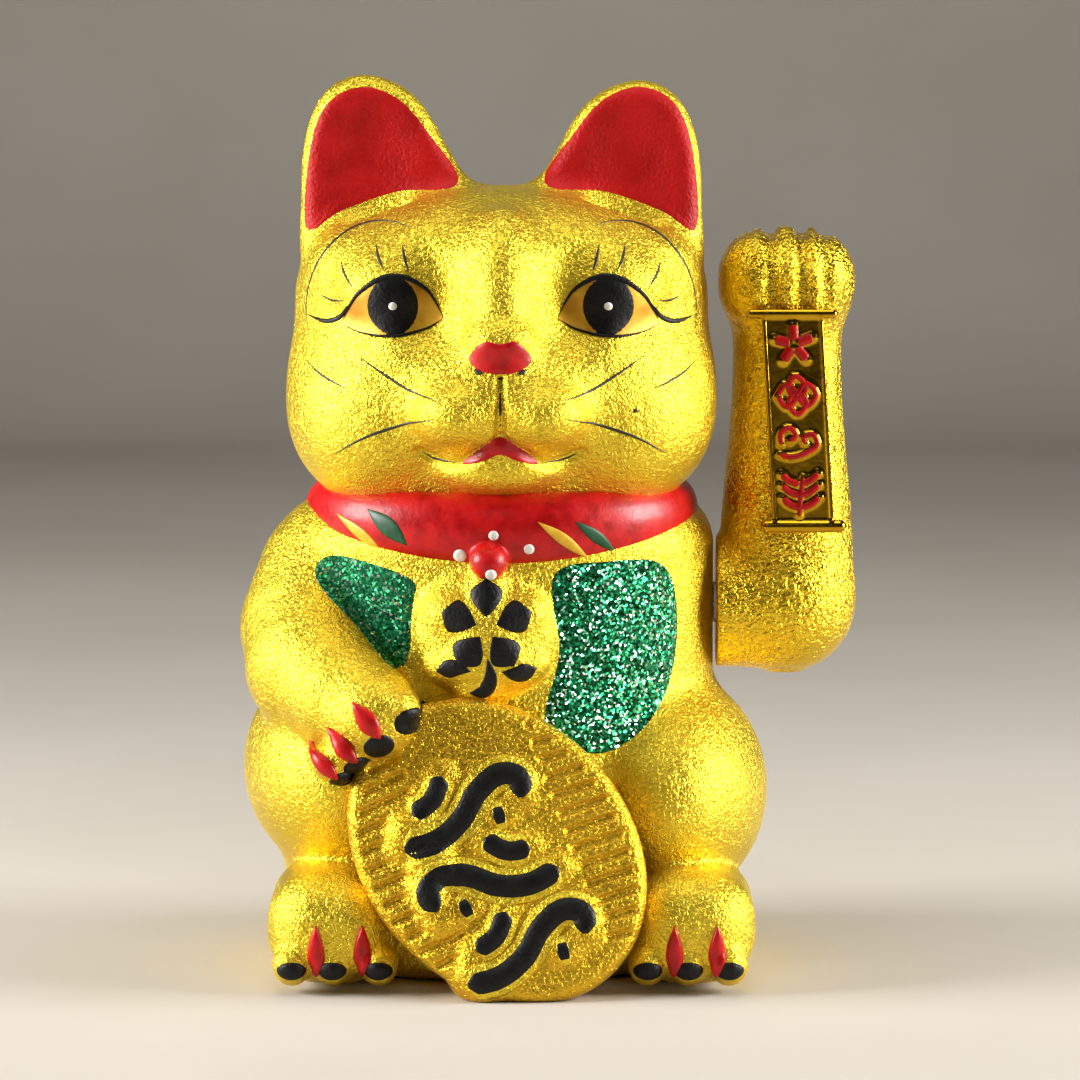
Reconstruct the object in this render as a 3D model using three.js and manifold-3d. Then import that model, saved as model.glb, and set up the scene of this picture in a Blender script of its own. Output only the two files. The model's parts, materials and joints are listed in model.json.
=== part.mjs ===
// A seated beckoning cat: a hollow slip-cast ceramic figure whose plated plastic arm is swung by a
// battery movement in its base. Millimetres, +Z up. The face looks along -Y, the raised arm is on the
// +X side, and the origin is the middle of the flat foot that it stands on.
import * as THREE from "three";
import { mergeVertices } from "three/addons/utils/BufferGeometryUtils.js";
import Module from "manifold-3d";

const wasm = await Module();
wasm.setup();

// ---- driving dimensions ----
const HEIGHT = 258; // to the ear tips
const WALL = 5; // ceramic wall
const HEAD_Z = 178; // middle of the head
const HEAD_HALF = [60.8, 50, 46];
const TORSO_Z = 96;
const TORSO_HALF = [60.5, 49, 54];
const COLLAR_Z = 130; // middle of the collar
const COLLAR_R = 56;
const DEPTH_SHARE = 0.86; // how much flatter front to back than side to side
const PIVOT_Z = 103.5; // the arm's axle, level and along X
const ARM_FACE_X = 62.8; // the arm's inner face, next to the body
const ARM_X = 82.6; // middle of the forearm
const ARM_TOP_Z = 211.5;
const ARM_R = 19.4; // elbow radius
const ARM_DEPTH_SHARE = 0.9;
const ARM_WALL = 1.8;
const COIN_CENTRE = [-1, -60, 39];
const COIN_HALF = [37.5, 47.5]; // across and along
const COIN_THICK = 11;
const COIN_LEAN = 14; // degrees, top edge back against the belly
const COIN_TURN = -42; // degrees in its own plane, top edge to -X
const OPENING = [44, 36.6, 14]; // half width, half depth and corner radius of the hole in the foot
const REBATE = [48, 40, 20];
const COVER_THICK = 2.5;
const FEET_X = [-47.5, 53];
const LAND_Z = 9; // top of the ledge round the opening
const GAP = 0.3; // left between pieces that rest on each other
const AXLE_R = 2;
const AXLE_X = [2, 78];
const LEVER_X = 20; // plane in which the pendulum swings
const UPRIGHTS_X = [LEVER_X - 13.7, LEVER_X + 13.7];
const FRAME_Z = 22; // underside of the movement's floor
const PLATE = 2.5; // thickness of the movement's plates
const CELL_R = 7.1; // an AA cell
const CELL_LENGTH = 49.2;
const CELL_Z = 10.6;
const CELL_Y = [11.4, 26.6];
const CELL_SHIFT = 1.9; // each cell sits towards its positive plate
const CONTACT_X = 28.05; // inner face of the contact plates
const POSTS = [[-38, -14], [38, -14], [-38, 14], [38, 14]];
const SWITCH_AT = [-22, -24];

// ---- materials ----
function finish(color, roughness, metalness) {
  return new THREE.MeshStandardMaterial({ color, roughness, metalness });
}
const GOLD_PAINT = finish(0xd9ae1e, 0.45, 0.7);
const PLATED_GOLD = finish(0xe0b21c, 0.28, 1.0);
const BRIGHT_GOLD = finish(0xc9a227, 0.15, 1.0);
const BLACK_ABS = finish(0x1d1d1f, 0.55, 0);
const WHITE_ABS = finish(0xe9e7df, 0.5, 0);
const STEEL = finish(0xb4b6b8, 0.35, 1.0);
const BRASS = finish(0xb08d45, 0.35, 1.0);
const COPPER = finish(0xb0602c, 0.35, 1.0);
const BOARD_GREEN = finish(0x1f6b3a, 0.5, 0);
const CELL_JACKET = finish(0x2f6f8f, 0.35, 0.2);
const RED_PVC = finish(0xb3151b, 0.5, 0);
const BLACK_PVC = finish(0x161616, 0.5, 0);

// ---- solids from three.js geometry ----
const radians = THREE.MathUtils.degToRad;

/** A closed three.js geometry as a solid that can be cut and joined. */
function solid(geometry) {
  const bare = geometry.index ? geometry.toNonIndexed() : geometry.clone();
  bare.deleteAttribute("normal");
  bare.deleteAttribute("uv");
  const merged = mergeVertices(bare, 1e-4);
  const corners = merged.index.array;
  const faces = [];
  for (let i = 0; i < corners.length; i += 3) {
    const [a, b, c] = corners.slice(i, i + 3);
    if (a !== b && b !== c && a !== c) faces.push(a, b, c);
  }
  const vertProperties = merged.attributes.position.array;
  return new wasm.Manifold(new wasm.Mesh({ numProp: 3, vertProperties, triVerts: new Uint32Array(faces) }));
}

/** Turns a geometry by degrees about X, Y and Z, then moves it. */
function placed(geometry, at = [0, 0, 0], turn = [0, 0, 0]) {
  const spin = new THREE.Matrix4().makeRotationFromEuler(new THREE.Euler(...turn.map(radians)));
  return geometry.applyMatrix4(spin.setPosition(...at));
}

function ellipsoid(at, half, turn, detail = [16, 10]) {
  return solid(placed(new THREE.SphereGeometry(1, ...detail).scale(...half), at, turn));
}

function box(low, high) {
  const size = high.map((h, k) => h - low[k]);
  const middle = high.map((h, k) => (h + low[k]) / 2);
  return solid(placed(new THREE.BoxGeometry(...size), middle));
}

/** A turned shape about the Z axis, from its profile of [radius, height] points, from the top down. */
function turned(profile, sides = 24) {
  const points = profile.map(([radius, height]) => new THREE.Vector2(radius, height)).reverse();
  return placed(new THREE.LatheGeometry(points, sides), [0, 0, 0], [90, 0, 0]);
}

/** A round bar between two heights, or with along "x" between two places on the X axis. */
function bar(radius, from, to, at = [0, 0, 0], along = "z", sides = 16) {
  const length = to - from;
  const turn = along === "x" ? [0, 0, 90] : [90, 0, 0];
  const middle = (from + to) / 2;
  const shift = along === "x" ? [at[0] + middle, at[1], at[2]] : [at[0], at[1], at[2] + middle];
  return solid(placed(new THREE.CylinderGeometry(radius, radius, length, sides), shift, turn));
}

function roundedRectangle(halfX, halfY, corner) {
  const shape = new THREE.Shape();
  shape.moveTo(halfX, halfY - corner);
  shape.absarc(halfX - corner, halfY - corner, corner, 0, Math.PI / 2);
  shape.absarc(corner - halfX, halfY - corner, corner, Math.PI / 2, Math.PI);
  shape.absarc(corner - halfX, corner - halfY, corner, Math.PI, 1.5 * Math.PI);
  shape.absarc(halfX - corner, corner - halfY, corner, 1.5 * Math.PI, 2 * Math.PI);
  return shape;
}

/** A flat outline given a thickness from one height to another. */
function plate(shape, from, to, curveSegments = 5) {
  const geometry = new THREE.ExtrudeGeometry(shape, { depth: to - from, bevelEnabled: false, curveSegments });
  return solid(placed(geometry, [0, 0, from]));
}

/** A round wire along a smooth curve through the points. */
function wire(points, radius, steps, sides = 8) {
  const extrudePath = new THREE.CatmullRomCurve3(points.map((p) => new THREE.Vector3(...p)));
  const section = new THREE.Shape();
  section.absarc(0, 0, radius, 0, 2 * Math.PI);
  return solid(new THREE.ExtrudeGeometry(section, { extrudePath, steps, curveSegments: sides }));
}

function joined(...solids) {
  return solids.reduce((all, next) => all.add(next));
}

// ---- the ceramic figure ----
/** One ear: a tall rounded slab that leans on the side of the head, dished at the front. */
function ear(side) {
  const outline = new THREE.Shape();
  outline.moveTo(12, 218);
  outline.lineTo(26.5, 247);
  outline.quadraticCurveTo(31, 254.6, 39.5, 254.6);
  outline.bezierCurveTo(50, 254.6, 54.5, 245, 54.5, 231);
  outline.lineTo(55, 206);
  outline.lineTo(38, 198);
  const edge = 3;
  const options = { depth: 7, bevelThickness: edge, bevelSize: edge, bevelSegments: 1, curveSegments: 5 };
  const slab = solid(placed(new THREE.ExtrudeGeometry(outline, options), [0, 4, 0], [90, 0, 0]));
  const dish = ellipsoid([37, -13, 226], [18, 9, 26], [0, -14, 0], [14, 8]);
  const one = slab.subtract(dish);
  return side > 0 ? one : one.mirror([1, 0, 0]);
}

/** How far a ray from a centre goes to the far side of an ellipsoid that is drawn in by an inset. */
function reach({ at, half }, centre, ray, inset) {
  const start = centre.map((c, k) => (c - at[k]) / (half[k] - inset));
  const step = ray.map((r, k) => r / (half[k] - inset));
  const dot = (p, q) => p[0] * q[0] + p[1] * q[1] + p[2] * q[2];
  const across = dot(start, step);
  const inside = across * across - dot(step, step) * (dot(start, start) - 1);
  return inside < 0 ? 0 : (Math.sqrt(inside) - across) / dot(step, step);
}

/** One skin round several ellipsoids: a sphere pushed out from a centre to the farthest of them.
    Its poles are on Y, where the face is, or turned up to Z. */
function skin(centre, forms, inset, detail, poleTurn) {
  const geometry = new THREE.SphereGeometry(1, ...detail).rotateX(radians(poleTurn));
  const position = geometry.attributes.position;
  for (let i = 0; i < position.count; i++) {
    const ray = [position.getX(i), position.getY(i), position.getZ(i)];
    const out = Math.max(...forms.map((form) => reach(form, centre, ray, inset)));
    position.setXYZ(i, ...ray.map((r, k) => centre[k] + out * r));
  }
  return solid(geometry);
}

/** The same form on both sides of the middle. */
function pair([x, y, z], half) {
  return [-1, 1].map((side) => ({ at: [side * x, y, z], half }));
}

const SKULL = [
  { at: [0, -4, HEAD_Z], half: HEAD_HALF },
  { at: [0, -2, HEAD_Z + 20], half: [57.5, 44, 28.5] },
  ...pair([32, -17, 160], [27, 30, 27]), // cheeks and jaw
];
const FACE = [
  ...pair([28, -34, 198], [18, 15, 14]), // eyelids
  ...pair([9.5, -47, 165], [13.5, 12.5, 11.5]), // muzzle
  { at: [0, -42, 190], half: [9, 14, 20] }, // bridge of the nose
  { at: [0, -55, 184], half: [8, 6, 6] }, // nose
  { at: [0, -44, 152], half: [17, 12, 10] }, // chin
];
const TRUNK = [
  { at: [0, 2, TORSO_Z], half: TORSO_HALF },
  { at: [0, -3, 64], half: [58, 50, 50] }, // belly
  { at: [0, 3, 30], half: [66, 55, 42] }, // seat
  ...pair([45.5, -8, 48], [31, 46, 35]), // haunches
];
const LIMBS = [
  { at: [-50, -8, 100], half: [23.5, 27, 26] }, // shoulder
  { at: [-52, -28, 89], half: [21.5, 22, 21] }, // forearm
  { at: [-42, -46, 82], half: [17, 15, 16] }, // wrist
  { at: [-34, -57, 76], half: [14.5, 12, 13] }, // paw
];

function collar() {
  const half = 8.8;
  const profile = [[COLLAR_R - 8, half], [COLLAR_R - 2, half], [COLLAR_R, half - 3], [COLLAR_R, 3 - half]];
  profile.push([COLLAR_R - 2, -half], [COLLAR_R - 8, -half], [COLLAR_R - 8, half]);
  const band = turned(profile, 32).scale(1, DEPTH_SHARE, 1);
  const bell = ellipsoid([-3.5, -50, COLLAR_Z - 6], [6.2, 5.5, 6.2], [0, 0, 0], [12, 8]);
  return joined(solid(placed(band, [0, -1, COLLAR_Z], [2, 0, 0])), bell);
}

/** The coin that leans on the belly: an oval slab with a rounded rim. */
function coin() {
  const edge = 3;
  const outline = new THREE.Shape().absellipse(0, 0, COIN_HALF[0] - edge, COIN_HALF[1] - edge, 0, 2 * Math.PI);
  const depth = COIN_THICK - 2 * edge;
  const options = { depth, bevelThickness: edge, bevelSize: edge, bevelSegments: 1, curveSegments: 16 };
  const disc = new THREE.ExtrudeGeometry(outline, options).translate(0, 0, -depth / 2);
  disc.rotateZ(radians(-COIN_TURN)).rotateX(radians(90));
  return solid(placed(disc, COIN_CENTRE, [-COIN_LEAN, 0, 0]));
}

function bodyCasting() {
  const neck = turned([[0, 146], [50, 146], [52, 112], [0, 112]], 24).scale(1, DEPTH_SHARE, 1);
  const medallion = ellipsoid([-4.5, -44, 101], [20.5, 7, 20.5], [-12, 0, 0]);
  const tail = ellipsoid([24, 49, 24], [10, 9, 17], [-8, -20, 0], [12, 8]);
  const feet = FEET_X.map((x) => ellipsoid([x, -42, 14], [18.5, 27, 21], [0, 0, 0], [14, 10]));
  const seat = turned([[0, 60], [55, 60], [62, 44], [65.5, 28], [66.5, 14], [65.5, 5], [62.5, 0], [0, 0]], 32);
  const head = skin([0, -8, HEAD_Z - 4], [...SKULL, ...FACE], 0, [32, 24], 0);
  const trunk = skin([0, -4, 52], [...TRUNK, ...LIMBS], 0, [34, 22], 90);
  const outside = joined(
    head, trunk, solid(neck), solid(seat.scale(1, DEPTH_SHARE, 1)), medallion, tail, ...feet,
    coin(), collar(), ear(1), ear(-1),
  );

  const hollowHead = skin([0, -6, HEAD_Z], SKULL, WALL + 1, [18, 12], 0);
  const hollowTrunk = skin([0, -4, 60], TRUNK, WALL + 0.5, [22, 14], 90);
  const throat = turned([[0, 150], [43, 150], [46, 110], [0, 110]], 18).scale(1, DEPTH_SHARE, 1);
  const hollow = joined(hollowTrunk.intersect(box([-90, -90, LAND_Z], [90, 90, 200])), hollowHead, solid(throat));
  const opening = plate(roundedRectangle(...OPENING), -1, LAND_Z + 1);
  const batteryRoom = box([-31.5, 0, LAND_Z], [31.5, 36.5, FRAME_Z]);
  const rebate = plate(roundedRectangle(...REBATE), -1, COVER_THICK + GAP);
  const axleHole = bar(8, 40, 70, [0, 0, PIVOT_Z], "x");
  const standing = outside.intersect(box([-100, -100, 0], [100, 100, HEIGHT]));
  return standing.subtract(joined(hollow, opening, batteryRoom, rebate, axleHole));
}

// ---- the swinging arm ----
/** The arm's outside, drawn in by a wall thickness, or out by a gap if it is negative. */
function armForm(inset) {
  const profile = [
    [0, 211.5], [7, 210.5], [13, 207], [17.5, 200], [18.6, 193], [17.6, 186], [16.2, 178], [15.9, 168], [16.6, 155],
    [18, 138], [19.2, 118], [ARM_R, PIVOT_Z], [17.5, 94], [12, 87], [6, 84.6], [0, PIVOT_Z - ARM_R],
  ].map(([radius, height], i, all) => {
    const end = i === 0 ? -inset : i === all.length - 1 ? inset : 0;
    return [radius === 0 ? 0 : Math.max(radius - inset, 0.5), height + end];
  });
  const forearm = turned(profile, 24).scale(1, ARM_DEPTH_SHARE, 1).translate(ARM_X, 0, 0);
  const stub = new THREE.CylinderGeometry(ARM_R - inset, ARM_R - inset, ARM_X - ARM_FACE_X - inset, 24);
  const middle = (ARM_X + ARM_FACE_X + inset) / 2;
  const level = placed(stub.rotateZ(Math.PI / 2).scale(1, ARM_DEPTH_SHARE, 1), [middle, 0, PIVOT_Z]);
  return solid(forearm).add(solid(level));
}

function fingers(margin = 0) {
  const half = [5.1, 15, 12].map((h) => h + margin);
  const knuckles = [0, 1, 2, 3].map((i) => {
    const away = i - 1.5;
    return ellipsoid([ARM_X + away * 8.2, -4, 199 - Math.abs(away)], half, [0, 0, 0], [10, 8]);
  });
  return joined(...knuckles);
}

function armShells() {
  const hubHole = bar(6.1, ARM_FACE_X - 1, ARM_FACE_X + 4, [0, 0, PIVOT_Z], "x");
  const shell = armForm(0).add(fingers()).subtract(armForm(ARM_WALL)).subtract(hubHole);
  const seam = GAP / 2;
  return {
    front: shell.intersect(box([0, -60, 0], [120, -seam, 250])),
    back: shell.intersect(box([0, seam, 0], [120, 60, 250])),
  };
}

/** The scroll-ended plaque on the front of the forearm. */
function plaque() {
  const board = placed(new THREE.BoxGeometry(17.4, 9, 60), [0, 0, 0]);
  const tilt = [0, -3.3, 0];
  const at = [ARM_X + 2.4, -16, 158.5];
  const flat = solid(placed(board, at, tilt));
  const rods = [-30.5, 30.5].map((height) => {
    const rod = new THREE.CylinderGeometry(2.1, 2.1, 20.5, 16).rotateZ(Math.PI / 2);
    return solid(placed(rod.translate(0, -3.6, height), at, tilt));
  });
  const behind = joined(armForm(-GAP), fingers(GAP), box([0, -12, 0], [120, 60, 250]));
  return joined(flat, ...rods).subtract(behind);
}

function armHub() {
  const tube = bar(6, ARM_FACE_X - 1.2, 79.6, [0, 0, PIVOT_Z], "x");
  const flange = bar(14, ARM_FACE_X + ARM_WALL + GAP, ARM_FACE_X + ARM_WALL + GAP + 2, [0, 0, PIVOT_Z], "x");
  return tube.add(flange).subtract(bar(AXLE_R + 0.1, ARM_FACE_X - 3, AXLE_X[1] + 0.3, [0, 0, PIVOT_Z], "x", 20));
}

function pendulumLever() {
  const hub = bar(6, LEVER_X - 4, LEVER_X + 4, [0, 0, PIVOT_Z], "x");
  const arm = box([LEVER_X - 3, -5, 47], [LEVER_X + 3, 5, PIVOT_Z]);
  return hub.add(arm).subtract(bar(AXLE_R + 0.1, LEVER_X - 5, LEVER_X + 5, [0, 0, PIVOT_Z], "x", 20));
}

function counterweight(side) {
  const near = LEVER_X + side * 3.2;
  const far = LEVER_X + side * 10.6;
  return box([Math.min(near, far), -9, 52], [Math.max(near, far), 9, 76]);
}

// ---- the movement ----
function movementFrame() {
  const floor = box([-42, -19, FRAME_Z], [44, 19, FRAME_Z + PLATE]);
  const uprights = UPRIGHTS_X.map((x) => {
    const side = box([x - 1.25, -9, FRAME_Z + PLATE], [x + 1.25, 9, PIVOT_Z + 9]);
    const outward = x + Math.sign(x - LEVER_X) * 2.3;
    const brace = box([Math.min(x, outward), -10.5, FRAME_Z + PLATE], [Math.max(x, outward), 9, FRAME_Z + 4]);
    return side.add(brace);
  });
  const standoffs = [[-29, -9], [-12, 8]].map(([x, y]) => bar(2.5, FRAME_Z + PLATE, 28, [x, y, 0]));
  const bushSeats = bar(3.7, 2, 42, [0, 0, PIVOT_Z], "x", 20);
  const screwHoles = POSTS.map(([x, y]) => bar(1.7, FRAME_Z - 1, FRAME_Z + PLATE + 1, [x, y, 0], "z", 16));
  const leadHoles = [[28.2, 16], [-22, -16]].map(([x, y]) => bar(2, FRAME_Z - 1, FRAME_Z + PLATE + 1, [x, y, 0]));
  const coilLeadHole = bar(2.4, 4, 9, [0, 2, 31.5], "x", 12);
  const holes = joined(bushSeats, coilLeadHole, ...screwHoles, ...leadHoles);
  return joined(floor, ...uprights, ...standoffs).subtract(holes);
}

function bush(x) {
  const sleeve = bar(3.5, x - 2.2, x + 2.2, [0, 0, PIVOT_Z], "x", 20);
  return sleeve.subtract(bar(AXLE_R + 0.09, x - 3, x + 3, [0, 0, PIVOT_Z], "x", 20));
}

function coilBobbin() {
  const foot = FRAME_Z + PLATE;
  const profile = [
    [2, foot + 15.5], [11, foot + 15.5], [11, foot + 14], [4, foot + 14], [4, foot + 3], [11, foot + 3],
    [11, foot + 1.5], [6, foot + 1.5], [6, foot], [2, foot], [2, foot + 15.5],
  ];
  return solid(turned(profile, 20).translate(LEVER_X, 0, 0));
}

function coilWinding() {
  const low = FRAME_Z + PLATE + 3.15;
  const high = FRAME_Z + PLATE + 13.85;
  return solid(turned([[4.2, high], [10.2, high], [10.2, low], [4.2, low], [4.2, high]], 20).translate(LEVER_X, 0, 0));
}

function screw([x, y]) {
  const seat = FRAME_Z + PLATE;
  const driven = bar(2.8, seat + 0.05, seat + 2, [x, y, 0], "z", 14);
  const shank = bar(1.35, 13, seat + 1, [x, y, 0], "z", 12);
  const slot = box([x - 3, y - 0.4, seat + 1.2], [x + 3, y + 0.4, seat + 3]);
  return driven.add(shank).subtract(slot);
}

// ---- the base and its battery compartment ----
function baseCover() {
  const [halfX, halfY, corner] = REBATE;
  const flange = plate(roundedRectangle(halfX - GAP, halfY - GAP, corner - GAP), 0, COVER_THICK);
  const posts = POSTS.map(([x, y]) => bar(4, COVER_THICK - 0.5, FRAME_Z - 0.05, [x, y, 0], "z", 16));
  const pilots = POSTS.map(([x, y]) => bar(1.45, 12, FRAME_Z + 1, [x, y, 0], "z", 12));
  const doorway = box([-28.9, 4, -1], [28.9, 34, 4]);
  const [switchX, switchY] = SWITCH_AT;
  const slot = box([switchX - 4, switchY - 2, -1], [switchX + 4, switchY + 2, 4]);
  return joined(flange, ...posts).subtract(joined(doorway, slot, ...pilots));
}

function batteryBox() {
  const outside = box([-30.5, 2.5, COVER_THICK + 0.05], [30.5, 35.5, 20]);
  const inside = box([-28.7, 4, 0], [28.7, 34, 18.4]);
  const divider = box([-20, 18.7, 12], [20, 19.3, 18.6]);
  const notches = [16, 24].map((y) => box([27.5, y - 2.2, 17], [29.2, y + 2.2, 21]));
  return outside.subtract(inside).add(divider).subtract(joined(...notches));
}

function batteryDoor() {
  const panel = box([-28.3, 4.5, 0.3], [28.3, 33.6, 2.3]);
  const thumbDish = ellipsoid([0, 28, -1.2], [9, 3.5, 2.4], [0, 0, 0], [16, 8]);
  return panel.subtract(thumbDish);
}

/** A cell lying along X, with its positive cap towards +X or -X. */
function cell(y, side) {
  const half = CELL_LENGTH / 2;
  const profile = [[0, half + 1.3], [2.75, half + 1.3], [2.75, half], [6.6, half], [CELL_R, half - 0.6]];
  profile.push([CELL_R, 0.6 - half], [6.6, -half], [0, -half]);
  const upright = turned(profile, 20).rotateY(side * Math.PI / 2);
  return solid(upright.translate(side * CELL_SHIFT, y, CELL_Z));
}

function contactPlate(side, lowY, highY) {
  const inner = side * CONTACT_X;
  const outer = side * (CONTACT_X + 0.4);
  return box([Math.min(inner, outer), lowY, 5], [Math.max(inner, outer), highY, 16]);
}

/** The plate at one end of a cell with the tab that its lead is soldered to. */
function tabbedPlate(lowY, highY, tabY) {
  const tab = box([CONTACT_X, tabY - 1.5, 15], [CONTACT_X + 0.4, tabY + 1.5, 20.6]);
  return contactPlate(1, lowY, highY).add(tab);
}

/** A cone-shaped coil spring pressed against a cell's flat end. */
function contactSpring(y, side) {
  const turns = 3;
  const steps = 27;
  const wireR = 0.35;
  const from = CONTACT_X - wireR - 0.1;
  const to = CELL_LENGTH / 2 - CELL_SHIFT + wireR + 0.1;
  const points = [];
  for (let i = 0; i <= steps; i++) {
    const share = i / steps;
    const angle = share * turns * 2 * Math.PI;
    const radius = 5 - 2 * share;
    const along = side * (from + (to - from) * share);
    points.push([along, y + radius * Math.cos(angle), CELL_Z + radius * Math.sin(angle)]);
  }
  return wire(points, wireR, steps, 3);
}

function switchBody() {
  const [x, y] = SWITCH_AT;
  const low = COVER_THICK + 0.05;
  const shellBox = box([x - 6.5, y - 3.2, low], [x + 6.5, y + 3.2, low + 6]);
  return shellBox.subtract(box([x - 4, y - 2, low - 1], [x + 4, y + 2, low + 3]));
}

function switchKnob() {
  const [x, y] = SWITCH_AT;
  const stem = box([x - 3.4, y - 1.6, 0.5], [x, y + 1.6, 5.2]);
  const groove = box([x - 2, y - 2, 0.3], [x - 1.4, y + 2, 0.9]);
  return stem.subtract(groove);
}

// ---- the electronics ----
function circuitBoard() {
  return box([-39, -15, 28.05], [-9, 11, 29.65]);
}

const BOARD_TOP = 29.7;
const LEADS = {
  lead_positive: { points: [[29.3, 16, 20.9], [28.2, 16, 26], [20, 17, 33], [2, 14, 34], [-10.5, 8, 30.9]], radius: 0.7 },
  lead_negative: {
    points: [[29.3, 24, 20.9], [28, 25, 27], [14, 24, 31], [-10, 19, 32], [-24, 15, 31.5], [-30, 9.5, 30.9]],
    radius: 0.7,
  },
  lead_switch: { points: [[-22, -24, 9.5], [-22, -21.5, 18], [-22, -20.6, 25], [-22, -17.5, 31], [-22, -13, 31]], radius: 0.7 },
  coil_lead: { points: [[8.6, 2, 30.5], [5, 2, 32], [-3, 0, 33.5], [-10.5, -4, 30.9]], radius: 0.45 },
};

// ---- the assembly ----
const cat = new THREE.Group();

/** Adds one piece to a group as a named mesh. */
function add(name, shape, material, group = cat) {
  const { vertProperties, triVerts } = shape.getMesh();
  const geometry = new THREE.BufferGeometry();
  geometry.setAttribute("position", new THREE.BufferAttribute(vertProperties, 3));
  geometry.setIndex(new THREE.BufferAttribute(triVerts, 1));
  geometry.computeVertexNormals();
  const mesh = new THREE.Mesh(geometry, material);
  mesh.name = name;
  group.add(mesh);
}

add("body_casting", bodyCasting(), GOLD_PAINT);

const swing = new THREE.Group();
const { front, back } = armShells();
add("arm_shell_front", front, PLATED_GOLD, swing);
add("arm_shell_back", back, PLATED_GOLD, swing);
add("arm_plaque", plaque(), BRIGHT_GOLD, swing);
add("arm_hub", armHub(), WHITE_ABS, swing);
add("axle", bar(AXLE_R, ...AXLE_X, [0, 0, PIVOT_Z], "x", 20), STEEL, swing);
add("axle_clip", bar(4, 3, 4, [0, 0, PIVOT_Z], "x").subtract(bar(2.1, 2, 5, [0, 0, PIVOT_Z], "x", 20)), STEEL, swing);
add("pendulum_lever", pendulumLever(), WHITE_ABS, swing);
add("counterweight_inner", counterweight(-1), STEEL, swing);
add("counterweight_outer", counterweight(1), STEEL, swing);
add("drive_magnet", bar(5, 43, 46.95, [LEVER_X, 0, 0]), STEEL, swing);
cat.add(swing);

const movement = new THREE.Group();
add("movement_frame", movementFrame(), WHITE_ABS, movement);
add("bush_inner", bush(UPRIGHTS_X[0]), BRASS, movement);
add("bush_outer", bush(UPRIGHTS_X[1]), BRASS, movement);
add("coil_bobbin", coilBobbin(), BLACK_ABS, movement);
add("coil_winding", coilWinding(), COPPER, movement);
POSTS.forEach((at, i) => add(`frame_screw_${i + 1}`, screw(at), STEEL, movement));
add("circuit_board", circuitBoard(), BOARD_GREEN, movement);
add("driver_chip", box([-27, -9, BOARD_TOP], [-21, -5, BOARD_TOP + 2]), BLACK_ABS, movement);
add("capacitor", bar(3.2, BOARD_TOP, BOARD_TOP + 9, [-33, 4, 0]), CELL_JACKET, movement);
add("transistor", bar(2.3, BOARD_TOP + 1.5, BOARD_TOP + 6, [-16, 3, 0], "z", 16), BLACK_ABS, movement);
for (const [name, { points, radius }] of Object.entries(LEADS)) {
  add(name, wire(points, radius, 12, 3), name === "lead_positive" ? RED_PVC : BLACK_PVC, movement);
}
cat.add(movement);

const base = new THREE.Group();
add("base_cover", baseCover(), BLACK_ABS, base);
add("battery_box", batteryBox(), BLACK_ABS, base);
add("battery_door", batteryDoor(), BLACK_ABS, base);
add("battery_front", cell(CELL_Y[0], 1), CELL_JACKET, base);
add("battery_rear", cell(CELL_Y[1], -1), CELL_JACKET, base);
add("contact_link", contactPlate(-1, 6, 32), STEEL, base);
add("contact_plate_positive", tabbedPlate(6, 17.5, 16), STEEL, base);
add("contact_plate_negative", tabbedPlate(20.5, 32, 24), STEEL, base);
add("contact_spring_front", contactSpring(CELL_Y[0], -1), STEEL, base);
add("contact_spring_rear", contactSpring(CELL_Y[1], 1), STEEL, base);
add("switch_body", switchBody(), BLACK_ABS, base);
add("switch_knob", switchKnob(), WHITE_ABS, base);
cat.add(base);

export default cat;
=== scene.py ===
"""A seated beckoning cat in sand-painted gold ceramic, with enamelled details and a plated, swinging arm.

The ceramic and the arm are soft forms. Each is a sum of simple solids given as distances in millimetres,
and its skin is the surface where that distance is zero. Painted details are thin enamel pieces laid on
those skins.
"""

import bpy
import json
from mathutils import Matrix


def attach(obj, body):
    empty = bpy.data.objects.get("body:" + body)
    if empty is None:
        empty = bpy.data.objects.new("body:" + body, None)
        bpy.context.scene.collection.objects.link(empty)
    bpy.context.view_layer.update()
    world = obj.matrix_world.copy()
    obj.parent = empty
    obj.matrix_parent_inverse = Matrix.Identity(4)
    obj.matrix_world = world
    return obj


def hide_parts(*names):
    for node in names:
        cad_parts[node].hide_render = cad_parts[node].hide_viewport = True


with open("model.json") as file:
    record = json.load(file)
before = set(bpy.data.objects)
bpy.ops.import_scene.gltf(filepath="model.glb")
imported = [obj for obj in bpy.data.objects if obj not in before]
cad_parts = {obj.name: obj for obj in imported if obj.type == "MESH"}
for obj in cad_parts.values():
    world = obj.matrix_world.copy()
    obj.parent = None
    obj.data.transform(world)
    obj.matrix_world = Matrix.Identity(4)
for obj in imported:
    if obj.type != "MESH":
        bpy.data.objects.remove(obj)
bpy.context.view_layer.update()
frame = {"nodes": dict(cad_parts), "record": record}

import json
import logging
import math
from dataclasses import dataclass, field
from enum import Enum
from itertools import product
from typing import Protocol, Sequence

import bmesh
import bpy
import numpy as np
from mathutils import Vector

LOG = logging.getLogger("cat")
Array = np.ndarray
Point = tuple[float, float, float]
Flat = tuple[float, float]
MM = 0.001
# Rays that lay enamel start well in front of the figure. One that misses starts again beside the ears.
FRONT_Y, BESIDE_Y, ARRIVED_MM = -100.0, -8.0, 0.3


# ---------------------------------------------------------------- forms
class Form(Protocol):
    """Any solid that can say how far a point is from its skin."""

    def distance(self, points: Array) -> Array:
        """Distance in mm of each point, negative inside."""


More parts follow.
